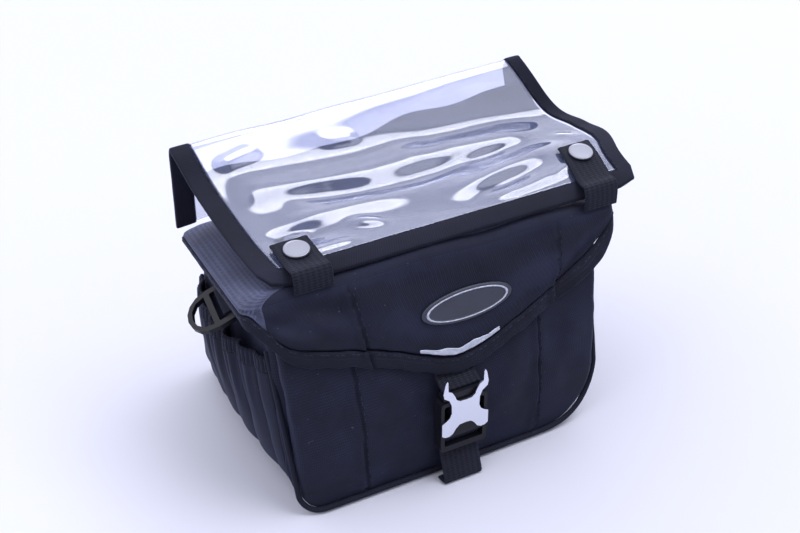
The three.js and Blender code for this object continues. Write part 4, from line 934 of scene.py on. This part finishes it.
# Section of the patch from its middle outwards: share of its size and height in millimetres.
PATCH_SPOKES = 96
INKED = (5, 8)
PATCH_PROFILE = [
    (0.02, 1.55), (0.3, 1.5), (0.6, 1.4), (0.8, 1.3), (0.845, 1.3), (0.858, 1.75), (0.868, 1.95), (0.88, 2.0),
    (0.897, 1.95), (0.907, 1.6), (0.92, 1.55), (0.97, 1.5), (0.99, 1.3), (1.0, 0.9), (1.0, 0.0), (0.6, 0.0),
]
around = np.linspace(0, 2 * PI, PATCH_SPOKES, endpoint=False)
rings = []
for share, out in PATCH_PROFILE:
    # The rim is as wide above and below as at the ends, so its height falls faster than its width.
    tall = share if share <= 0.62 else 1 - (1 - share) * 1.6
    x = PATCH_X + PATCH_WIDTH / 2 * share * np.cos(around)
    z = PATCH_Z + PATCH_HEIGHT / 2 * tall * np.sin(around)
    rings.append(flap_face(x, z + (x - PATCH_X) * 0.02, GAP + out + 0.5, 0.35))
rings = np.stack(rings)
patch = Cloth()
ids = patch.add(rings, rings[..., [0, 2]])
row = np.repeat(np.arange(len(ids) - 1)[:, None], PATCH_SPOKES, 1)
patch.weave(ids, closed=True, group=((row >= INKED[0]) & (row <= INKED[1])).astype(int))
patch.close_ends(ids, rings, rings[..., [0, 2]])
patch.piece("plain_oval_patch", [rubber, rim_ink], "patch_rubber", ["oval_patch"])

# Map case: one sheet of clear soft vinyl rising from the lid's front edge to a crest and hanging
# down behind, creased from being folded. Its edge is bound with a wider tape on three sides.
MAP_RISE = 53
MAP_TAPE = 12
RIGHT_TAPE = 10
MAP_SETBACK = 7.3
MAP_BACKSET = 22.3
MAP_FRONT = -(LID_DEEP - MAP_SETBACK)
MAP_CREST = LID_DEEP - MAP_BACKSET
MAP_REST = 3
MAP_FOLD = 5
FOLD_REACH = 7
MAP_TAIL = 4
RIGHT_TAIL = 26
TAIL_LEAN = 8
VINYL = 1.0
TAPE_THICK = 2.8
# Places of the left and right edge, as shares of half the lid's width, and their heights, as shares
# of MAP_RISE, at even steps from the front edge to the crest.
MAP_LEFT = [-0.86, -0.888, -0.921, -0.955, -0.995, -1.036]
MAP_RIGHT = [1.17, 1.182, 1.24, 1.232, 1.16, 1.036]
LEFT_RISE = [0.05, 0.13, 0.27, 0.46, 0.7, 1]
RIGHT_RISE = [0.1, 0.26, 0.37, 0.42, 0.57, 1.16]
# Share of the sheet's length at which the crest lies, and share of the rest that goes over it.
MAP_TURN = 0.7
MAP_OVER = 0.3
WAVE = 1.2
# Creases of the vinyl as shares across and up the sheet, then half width and height in millimetres.
VINYL_FOLDS = [
    (0.02, 0.49, 0.4, 0.43, 14, 4.4),
    (0.28, 0.43, 0.62, 0.47, 15, 4.4),
    (0.5, 0.46, 0.9, 0.42, 13, 4.0),
    (0.48, 0.16, 0.9, 0.31, 10, 3.4),
    (0.1, 0.3, 0.46, 0.25, 7, 1.8),
    (0.6, 0.08, 0.86, 0.14, 6, 1.6),
    (0.04, 0.11, 0.3, 0.1, 5, 1.4),
    (0.05, 0.6, 0.22, 0.64, 5, 1.8),
    (0.34, 0.61, 0.46, 0.6, 3.5, 1.5),
    (0.86, 0.4, 0.99, 0.3, 5, 1.4),
]
# Puddles pressed into it: place across and up, half length and half width in millimetres, turn in
# degrees and height.
VINYL_DENTS = [
    (0.51, 0.345, 22, 10, 8, -3.4),
    (0.29, 0.375, 26, 8, -14, -3.0),
    (0.142, 0.21, 20, 9, -6, -2.8),
    (0.142, 0.215, 7, 3.5, -6, 1.6),
    (0.31, 0.175, 10, 5, -30, 2.2),
    (0.69, 0.37, 14, 4.5, 6, -1.7),
    (0.68, 0.17, 18, 6, 10, -2.4),
    (0.86, 0.15, 9, 5, 35, 2.2),
    (0.94, 0.27, 8, 6, 0, -1.6),
]


def dents(x, z, table):
    """Sum of oval hollows over a flat place."""
    total = np.zeros(np.broadcast(x, z).shape)
    for x0, z0, far, wide, turn, high in table:
        ca, sa = math.cos(math.radians(turn)), math.sin(math.radians(turn))
        a = ((x - x0) * ca + (z - z0) * sa) / far
        b = ((z - z0) * ca - (x - x0) * sa) / wide
        total = total + high * np.exp(-((a * a + b * b) ** 1.4))
    return total


def map_point(u, v):
    """Point of the sheet: u goes across, v from the front edge over the crest to the end behind."""
    u, v = np.broadcast_arrays(np.asarray(u, float), np.asarray(v, float))
    f = np.clip(v / MAP_TURN, 0, 1)
    rise = mix(along(LEFT_RISE, f), along(RIGHT_RISE, f), u)
    waves = np.sin(PI * f) * np.sin(PI * u) * WAVE * np.sin(5 * PI * f + 4 * u)
    crest = MAP_RISE * mix(LEFT_RISE[-1], RIGHT_RISE[-1], u)
    base = LID_TOP + MAP_REST
    x = LID_WIDTH / 2 * mix(along(MAP_LEFT, f), along(MAP_RIGHT, f), u)
    g = np.clip((v - MAP_TURN) / (1 - MAP_TURN), 0, 1)
    a = PI * 0.9 * np.clip(g / MAP_OVER, 0, 1)
    h = np.clip((g - MAP_OVER) / (1 - MAP_OVER), 0, 1)
    x = x + TAIL_LEAN * u * h
    tail = LID_TOP + mix(MAP_TAIL, RIGHT_TAIL, u)
    over_y = MAP_CREST + FOLD_REACH * np.sin(a / 2)
    over_z = base + crest + MAP_FOLD / 2 * (np.sin(a) + np.cos(a) - 1)
    tail_y = MAP_CREST + FOLD_REACH * mix(1, 1.36, h)
    tail_z = mix(base + crest - MAP_FOLD, tail, h)
    y = np.where(v <= MAP_TURN, mix(MAP_FRONT, MAP_CREST, f), np.where(g < MAP_OVER, over_y, tail_y))
    z = np.where(v <= MAP_TURN, base + MAP_RISE * rise + waves, np.where(g < MAP_OVER, over_z, tail_z))
    return vec(x, y, z)


def map_u(u, v, mm):
    """The place across that lies so many millimetres beside u."""
    return u + mm / (map_point(1, v)[..., 0] - map_point(0, v)[..., 0])


def map_normal(u, v):
    """Unit normals of the softened sheet, upwards."""
    e = 1e-3
    u, v = np.asarray(u), np.asarray(v)
    over = soft(map_point(u + e, v)) - soft(map_point(u - e, v))
    back = soft(map_point(u, np.clip(v + e, 0, 1))) - soft(map_point(u, np.clip(v - e, 0, 1)))
    return unit(np.cross(over, back))


FRONT_TAPE = 0.055
v = np.linspace(FRONT_TAPE + 0.004, 1, 170)[:, None]
left_u, right_u = map_u(0, v, MAP_TAPE + GAP), map_u(1, v, -RIGHT_TAPE - GAP)
u = mix(left_u, right_u, np.linspace(0, 1, 190)[None])
v = np.broadcast_to(v, u.shape)
# Rough width and length of the clear sheet, to place its creases.
SHEET_WIDE, SHEET_LONG = 235, 190
on_x, on_y = u * SHEET_WIDE, v * SHEET_LONG
size = (SHEET_WIDE, SHEET_LONG)
creases = [(*np.multiply(row[:4], size * 2), *row[4:]) for row in VINYL_FOLDS]
puddles = [(*np.multiply(row[:2], size), *row[2:]) for row in VINYL_DENTS]
bumpy = folds(on_x, on_y, creases) + dents(on_x, on_y, puddles)
bumpy = bumpy + 0.28 * ripples(on_x * 0.6, on_y, 34, 71) + 0.006 * ripples(on_x * 0.4, on_y, 7, 5)
# The creases fade out under the tapes, which hold the edge flat.
fade = smooth(np.minimum((u - left_u), (right_u - u)) * 16) * smooth((v - FRONT_TAPE) * 22)
vinyl_grid = soft(map_point(u, v)) + map_normal(u, v) * (bumpy * fade)[..., None]
# Clear vinyl: soft PVC, glossy and nearly colourless, so what lies under it shows through, with
# bright creases of reflected light. Its bluish haze over the clear sheet is partly its faint milkiness
# and partly a painted reflection that lifts and tints the grey veil. PVC has IOR 1.53, and 1.7 stands
# for the two layers of the real case, which both mirror the light.
vinyl, tree, surface = blank_material("map_window_clear_pvc")
spot = node(tree, "TexCoord").outputs["Object"]
scuff = node(tree, "TexNoise", {"Vector": spot, "Scale": 240.0, "Detail": 6.0, "Roughness": 0.7})
gloss = node(tree, "MapRange", {0: scuff.outputs["Fac"], 1: 0.45, 2: 0.75, 3: 0.02, 4: 0.06})
waver = node(tree, "TexNoise", {"Vector": spot, "Scale": 26.0, "Detail": 2.0})
relief = node(tree, "Bump", {"Height": waver.outputs["Fac"], "Distance": 0.0006, "Strength": 0.2})
pvc = node(
    tree,
    "BsdfPrincipled",
    {
        "Base Color": linear("#f4f6ff"),
        "Roughness": gloss.outputs[0],
        "IOR": 1.7,
        "Transmission Weight": 1.0,
        "Normal": relief.outputs[0],
    },
)
# Bluish haze: partly the vinyl's own milkiness, partly a painted reflection that tints the grey veil.
haze_and_painted_veil = node(tree, "BsdfPrincipled", {"Base Color": linear("#a2b0e6"), "Roughness": 0.5})
milk = node(tree, "MapRange", {0: scuff.outputs["Fac"], 1: 0.3, 2: 0.8, 3: 0.08, 4: 0.15})
both = node(tree, "MixShader", {0: milk.outputs[0], 1: pvc.outputs[0], 2: haze_and_painted_veil.outputs[0]})
tree.links.new(both.outputs[0], surface)
clear_sheet = sheet_of(vinyl_grid[:, ::-1], VINYL)
clear_piece = clear_sheet.piece("clear_map_sheet", [vinyl], "clear_vinyl", ["map_window"])

# Backing of the map case: a thin black cloth that hangs a little below the vinyl and stops short of
# the crest. It is why the vinyl looks grey, and lies in slack folds from side to side.
BACKING_THICK = 1.2
BACKING_DROP = 2.3
BACKING_SAG = 3.4
BACKING_FRONT = 0.075
BACKING_TOP = (0.6, 0.66)
s = np.linspace(0, 1, 121)[None]
top_edge = mix(*BACKING_TOP, s) + 0.009 * np.sin(11 * s + 1) + 0.005 * np.sin(23 * s)
v = mix(BACKING_FRONT, top_edge, np.linspace(0, 1, 91)[:, None])
u = mix(map_u(0, v, MAP_TAPE + GAP), map_u(1, v, -RIGHT_TAPE - GAP), s)
backing = map_point(u, v)
slack = 0.7 * ripples(u * SHEET_WIDE * 0.3, v * SHEET_LONG, 30, 61) * np.sin(PI * s)
backing[..., 2] -= BACKING_DROP + (BACKING_SAG + slack) * np.sin(PI * s)
backing_sheet = sheet_of(soft(backing)[:, ::-1], BACKING_THICK)
backing_piece = backing_sheet.piece("map_case_backing", [pack_cloth], "lid_cloth", ["map_backing"])

# Map case's tape: the same ribbed tape, but wider, folded over the sheet's raw edge and sewn through.
# It runs down one side, along the front, where it wraps round the lid's edge, and up the other.
TAPE_WRAP = np.array([0, -3.6, -4.6])
tape_lines = [[], []]
for v_at, side in (
    [(v, 0) for v in np.linspace(1, FRONT_TAPE, 90)]
    + [(s, 2) for s in np.linspace(0, 1, 90)]
    + [(v, 1) for v in np.linspace(FRONT_TAPE, 1, 90)]
):
    if side == 2:
        inside = mix(map_u(0, FRONT_TAPE, MAP_TAPE), map_u(1, FRONT_TAPE, -RIGHT_TAPE), v_at)
        tape_lines[0].append((mix(0.015, 0.985, v_at), 0.0))
        tape_lines[1].append((float(inside), FRONT_TAPE))
    else:
        tape_lines[0].append((float(side), v_at))
        tape_lines[1].append((float(map_u(side, v_at, MAP_TAPE if side == 0 else -RIGHT_TAPE)), v_at))
outer_uv, inner_uv = (np.array(line) for line in tape_lines)
# Rows of the tape from its outer to its inner edge.
share = np.array([0.0, 0.03, 0.09, 0.2, 0.35, 0.5, 0.65, 0.8, 0.91, 0.97, 1.0])
uv = outer_uv[None] * (1 - share[:, None, None]) + inner_uv[None] * share[:, None, None]
off_corner = smooth(np.minimum(uv[..., 0], 1 - uv[..., 0]) * 14)
at_front = ((1 - share[:, None]) * smooth(1 - uv[..., 1] / 0.06) * mix(0.3, 1, off_corner))[..., None]
tape_grid = soft(map_point(uv[..., 0], uv[..., 1]) + at_front * TAPE_WRAP)
tape_n = map_normal(uv[..., 0], uv[..., 1])
length = lengths(tape_grid[0])
waver = 0.18 * np.sin(length / 3.1) + 0.15 * np.sin(length / 7.7 + 1)
full = TAPE_THICK * (0.55 + 0.45 * np.sqrt(np.clip(1 - (2 * share - 1) ** 8, 0, 1)))
map_tape = Cloth()
cut = vec(share[:, None] * MAP_TAPE, length[None])
top = map_tape.add(tape_grid + tape_n * (full[:, None] / 2 + waver[None] * 0.5)[..., None], cut)
under = map_tape.add(tape_grid - tape_n * (full[:, None] / 2)[..., None], cut)
map_tape.weave(top, turned=True)
map_tape.weave(under)
for at in (0, -1):
    map_tape.weave(np.stack([top[at], under[at]]), turned=at == -1)
    map_tape.weave(np.stack([top[:, at], under[:, at]]), turned=at == 0)
map_tape.piece("map_case_tape", [tape_cloth], "binding_tape", ["map_binding"])

tape_thread = Cloth()
SEWN_ROW = 8
face = tape_grid[SEWN_ROW] + tape_n[SEWN_ROW] * (full[SEWN_ROW] / 2 + 0.1)
stitch_row(tape_thread, face, tape_n[SEWN_ROW])
tape_thread.piece("map_tape_stitches", [thread], "binding_tape")

# Snap tabs: short tongues of ribbed webbing sewn to the flap, folded over the map case's front
# edge, cut off square with a hot knife. Each is held by a flat satin steel snap cap.
WEB_THICK = 1.8
TAB_WIDTH = 20.5
# Place across at the sewn end and at the free end, and how far the tab reaches back.
TABS = {"left": (-72, -74, 34), "right": (101, 109.5, 47)}
CAP_BACK = 12
TAB_DOWN = 3
TAB_BULGE = 2.6
CAP_DIAMETER = 15
CAP_HEIGHT = 2.6
# Webbing: black nylon woven with ribs across it, dull and deep. Its real ribs are 1.2 mm apart; they
# are drawn 3.4 by 1.5 mm so as to show.
webbing = woven("webbing_ribbed_nylon", "#07080e", "#20222e", 3.4, 1.5, 0.5, 0.1, 0.72)


def tab_point(near, far, reach, side, s):
    """Point of a snap tab: side goes across it from -1 to 1, s from its sewn end to its free one."""
    side, s = np.broadcast_arrays(np.asarray(side, float), np.asarray(s, float))
    down = TAB_DOWN / (TAB_DOWN + reach)
    clear = (TAPE_THICK + WEB_THICK) / 2 + 3 * GAP
    out = LID_DEEP + 2 * GAP + WEB_THICK / 2
    back = np.clip((s - down) / (1 - down), 0, 1)
    x = mix(near, far, back) + side * TAB_WIDTH / 2

    def u_at(v):
        a, b = map_point(0, v)[..., 0], map_point(1, v)[..., 0]
        return (x - a) / (b - a)

    lift = map_point(u_at(0 * x), 0 * x)[..., 2] + clear
    rise = np.clip(s / down, 0, 1)
    y_back = mix(-out + GAP, MAP_FRONT + reach, back)
    v = np.clip(MAP_TURN * (y_back - MAP_FRONT) / (MAP_CREST - MAP_FRONT), 0, 1)
    on = map_point(u_at(v), v)[..., 2] + clear
    first = s < down
    y = np.where(first, -out - TAB_BULGE * smooth(rise * 1.6), y_back)
    z = np.where(first, mix(LID_TOP - TAB_DOWN, lift - TAB_BULGE, rise), on)
    return vec(x, y, z)


def round_off(grid, times):
    """Softens the bends of a grid from row to row, keeping its first and last row."""
    for _ in range(times):
        grid = np.concatenate([grid[:1], (grid[:-2] + 2 * grid[1:-1] + grid[2:]) / 4, grid[-1:]])
    return grid


# Satin nickel-plated steel: pale grey, brushed and worn dull, so its reflections blur to one tone.
# The wear lies in smears 2 mm wide.
steel, tree, surface = blank_material("snap_cap_satin_nickel_plated_steel")
spot = node(tree, "TexCoord").outputs["Object"]
scratch = node(tree, "TexNoise", {"Vector": spot, "Scale": 500.0, "Detail": 8.0, "Distortion": 1.5})
shine = node(tree, "MapRange", {0: scratch.outputs["Fac"], 1: 0.35, 2: 0.7, 3: 0.42, 4: 0.55})
tone = node(
    tree, "Mix", {0: scratch.outputs["Fac"], 6: linear("#7c7e88"), 7: linear("#94969f")}, data_type="RGBA"
)
plated = node(
    tree, "BsdfPrincipled", {"Base Color": tone.outputs[2], "Metallic": 1.0, "Roughness": shine.outputs[0]}
)
tree.links.new(plated.outputs[0], surface)
# Section of a cap from its foot over its rim to its middle: shares of its radius and its height.
CAP_OUTLINE = [
    (0.8, 0.0), (0.97, 0.02), (1.0, 0.12), (1.0, 0.4), (0.98, 0.52), (0.94, 0.58), (0.89, 0.55), (0.86, 0.48),
    (0.8, 0.5), (0.6, 0.54), (0.3, 0.57), (0.01, 0.58),
]
for side, (near, far, reach) in TABS.items():
    across_tab, s = np.meshgrid(np.linspace(-1, 1, 13), np.linspace(0, 1, 61))
    grid = round_off(soft(tab_point(near, far, reach, across_tab, s)), 6)
    sheet_of(grid[:, ::-1], WEB_THICK).piece(f"tab_{side}", [webbing], "webbing", [f"snap_tab_{side}"])
    at = 1 - CAP_BACK / (TAB_DOWN + reach)
    spot = soft(tab_point(near, far, reach, 0, at))
    ahead = soft(tab_point(near, far, reach, 0, at + 0.04)) - spot
    over = soft(tab_point(near, far, reach, 0.4, at)) - spot
    up, over = unit(np.cross(over, ahead)), unit(over)
    level = np.cross(over, up)
    place = spot + up * (WEB_THICK / 2 + GAP + 0.25)
    cap = Cloth()
    around = np.linspace(0, 2 * PI, 64, endpoint=False)
    circle = np.outer(np.cos(around), over) + np.outer(np.sin(around), level)
    rings = np.stack([place + circle * r * CAP_DIAMETER / 2 + up * h * CAP_HEIGHT for r, h in CAP_OUTLINE])
    ids = cap.add(rings, rings[..., :2])
    cap.weave(ids, closed=True)
    cap.close_ends(ids, rings, rings[..., :2])
    cap.piece(f"cap_{side}", [steel], "snap_metal", [f"snap_cap_{side}"])

# Buckle: a black acetal side-release buckle under a bright cast plate in the shape of an X, whose
# prongs rise beside the webbing. The webbing is threaded through its ladder lock and hangs below.
BUCKLE_THICK = 8
WEBBING = 24.5
front_of = buckle_back - BUCKLE_THICK
buckle_mid = buckle_spot[0]
# Moulded acetal: black, satin, with paler worn edges. Its spark-eroded grain of 0.1 mm is drawn at
# 0.5 mm, and takes the shine off its faces.
acetal, tree, surface = blank_material("buckle_moulded_acetal")
spot = node(tree, "TexCoord").outputs["Object"]
grain = node(tree, "TexNoise", {"Vector": spot, "Scale": 2200.0, "Detail": 3.0})
edges = node(tree, "NewGeometry").outputs["Pointiness"]
rub = node(tree, "MapRange", {0: edges, 1: 0.54, 2: 0.66, 3: 0.0, 4: 0.12})
tone = node(tree, "Mix", {0: rub.outputs[0], 6: linear("#0e0f15"), 7: linear("#3b3f50")}, data_type="RGBA")
relief = node(tree, "Bump", {"Height": grain.outputs["Fac"], "Distance": 0.00006, "Strength": 0.5})
moulded = node(
    tree,
    "BsdfPrincipled",
    {
        "Base Color": tone.outputs[2],
        "Roughness": 0.38,
        "IOR": 1.48,
        "Specular IOR Level": 0.22,
        "Normal": relief.outputs[0],
    },
)
tree.links.new(moulded.outputs[0], surface)


def finish_part(name, material, edge_radius=0.0, steps=0):
    """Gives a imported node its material, and rounds its edges by so many millimetres."""
    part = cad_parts[name]
    part.data.materials.clear()
    part.data.materials.append(material)
    if edge_radius:
        edge = part.modifiers.new("rounded_edge", "BEVEL")
        edge.width = edge_radius / 1000
        edge.segments = steps
        edge.limit_method = "ANGLE"
    return part


# The D-rings are bent from rod, so their edges are rounder than the moulded ones. The plate on the
# bag's back, which hangs it from the bar, is moulded of the same black acetal.
for name in ("buckle_female", "buckle_male", "back_plate"):
    finish_part(name, acetal, 0.6, 4)
for name in ("d_ring_left", "d_ring_right"):
    finish_part(name, acetal, 1.3, 4)
# Cast zinc, satin chromed: bright and slightly rough, so it mirrors the tent as a soft white. The
# casting's unevenness, about 1 mm across, shows as faint clouds in it.
zinc, tree, surface = blank_material("buckle_plate_cast_zinc")
spot = node(tree, "TexCoord").outputs["Object"]
cast = node(tree, "TexNoise", {"Vector": spot, "Scale": 900.0, "Detail": 5.0})
shine = node(tree, "MapRange", {0: cast.outputs["Fac"], 1: 0.3, 2: 0.7, 3: 0.16, 4: 0.26})
relief = node(tree, "Bump", {"Height": cast.outputs["Fac"], "Distance": 0.00002, "Strength": 0.3})
chromed = node(
    tree,
    "BsdfPrincipled",
    {
        "Base Color": linear("#dfe2ec"),
        "Metallic": 1.0,
        "Roughness": shine.outputs[0],
        "Normal": relief.outputs[0],
    },
)
tree.links.new(chromed.outputs[0], surface)
finish_part("buckle_plate", zinc, 0.3, 2)

# Webbing of the buckle: the same ribbed nylon. The upper end is sewn under the flap. The lower end
# leaves the buckle's ladder lock over its bar and hangs loose, a little askew.
HEAD_HEIGHT = 5
WEB_HIDDEN = 32


def smooth_path(points, count):
    """Even points on a smooth curve through the given ones."""
    points = np.asarray(points, float)
    t = np.linspace(0, 1, count)
    return np.stack([along(points[:, k], t) for k in range(points.shape[1])], -1)


head_top = BUCKLE_TOP + HEAD_HEIGHT + GAP
web_middle = front_of + BUCKLE_THICK / 2
web_start = head_top + 2 * GAP


def behind_flap(z):
    """Where webbing lies between the body and the flap at a height."""
    return float(soft(vec(BUCKLE_X, -BODY_DEPTH / 2 - FLAP_CLEAR / 2, z))[1])


goes_in = behind_flap(web_start) - web_middle
# Path of the sewn end: height as a share of WEB_HIDDEN, and how far it has gone in under the flap.
HEAD = [(0, 0), (0.02, 0.24), (0.065, 0.62), (0.16, 1), (0.27, 1), (0.43, 1), (0.68, 1), (1, 1)]
upper = []
for share, inwards in HEAD:
    z = web_start + share * WEB_HIDDEN
    upper.append((behind_flap(z) if inwards == 1 else web_middle + inwards * goes_in, z))
LOCK_BAR = 4
SLOT_HEIGHT = 6
TAIL_LEAN_LEFT = 2.4
# Path of the loose end: how far out in buckle thicknesses, and height as a share of the slot's top.
TAIL = [
    (-0.34, 0.95), (-0.54, 0.87), (-0.69, 0.77), (-0.64, 0.62), (-0.26, 0.42), (0.12, 0.21), (0.36, 0.09),
    (0.42, 0.055), (0.3, 0.041), (0, 0.041), (-0.4, 0.041),
]
slot_top = BUCKLE_LOW + LOCK_BAR + SLOT_HEIGHT
lower = [(front_of - out * BUCKLE_THICK, high * slot_top) for out, high in TAIL]
WEB_ROWS = 90
for end, points, lean in (("upper", upper, 0), ("lower", lower, TAIL_LEAN_LEFT)):
    path = smooth_path(points, WEB_ROWS)
    across_web = np.linspace(-0.5, 0.5, 15) * WEBBING
    shift = -lean * np.linspace(0, 1, WEB_ROWS)[:, None]
    grid = vec(buckle_mid + across_web[None] + shift, path[:, :1], path[:, 1:])
    sheet_of(grid, WEB_THICK).piece(f"webbing_{end}", [webbing], "webbing", [f"{end}_webbing"])

# Ring loops: short sleeves of the ribbed tape, folded round the straight bar of each D-ring and sewn
# to the body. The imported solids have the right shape, so they only get a cut to lay the ribs on.
for side in ("left", "right"):
    loop = finish_part(f"ring_loop_{side}", tape_cloth)
    layer = loop.data.uv_layers.get("cut") or loop.data.uv_layers.new(name="cut")
    for corner in loop.data.loops:
        spot = loop.data.vertices[corner.vertex_index].co
        layer.data[corner.index].uv = (spot.x * 1000 + spot.z * 1000, spot.y * 1000)
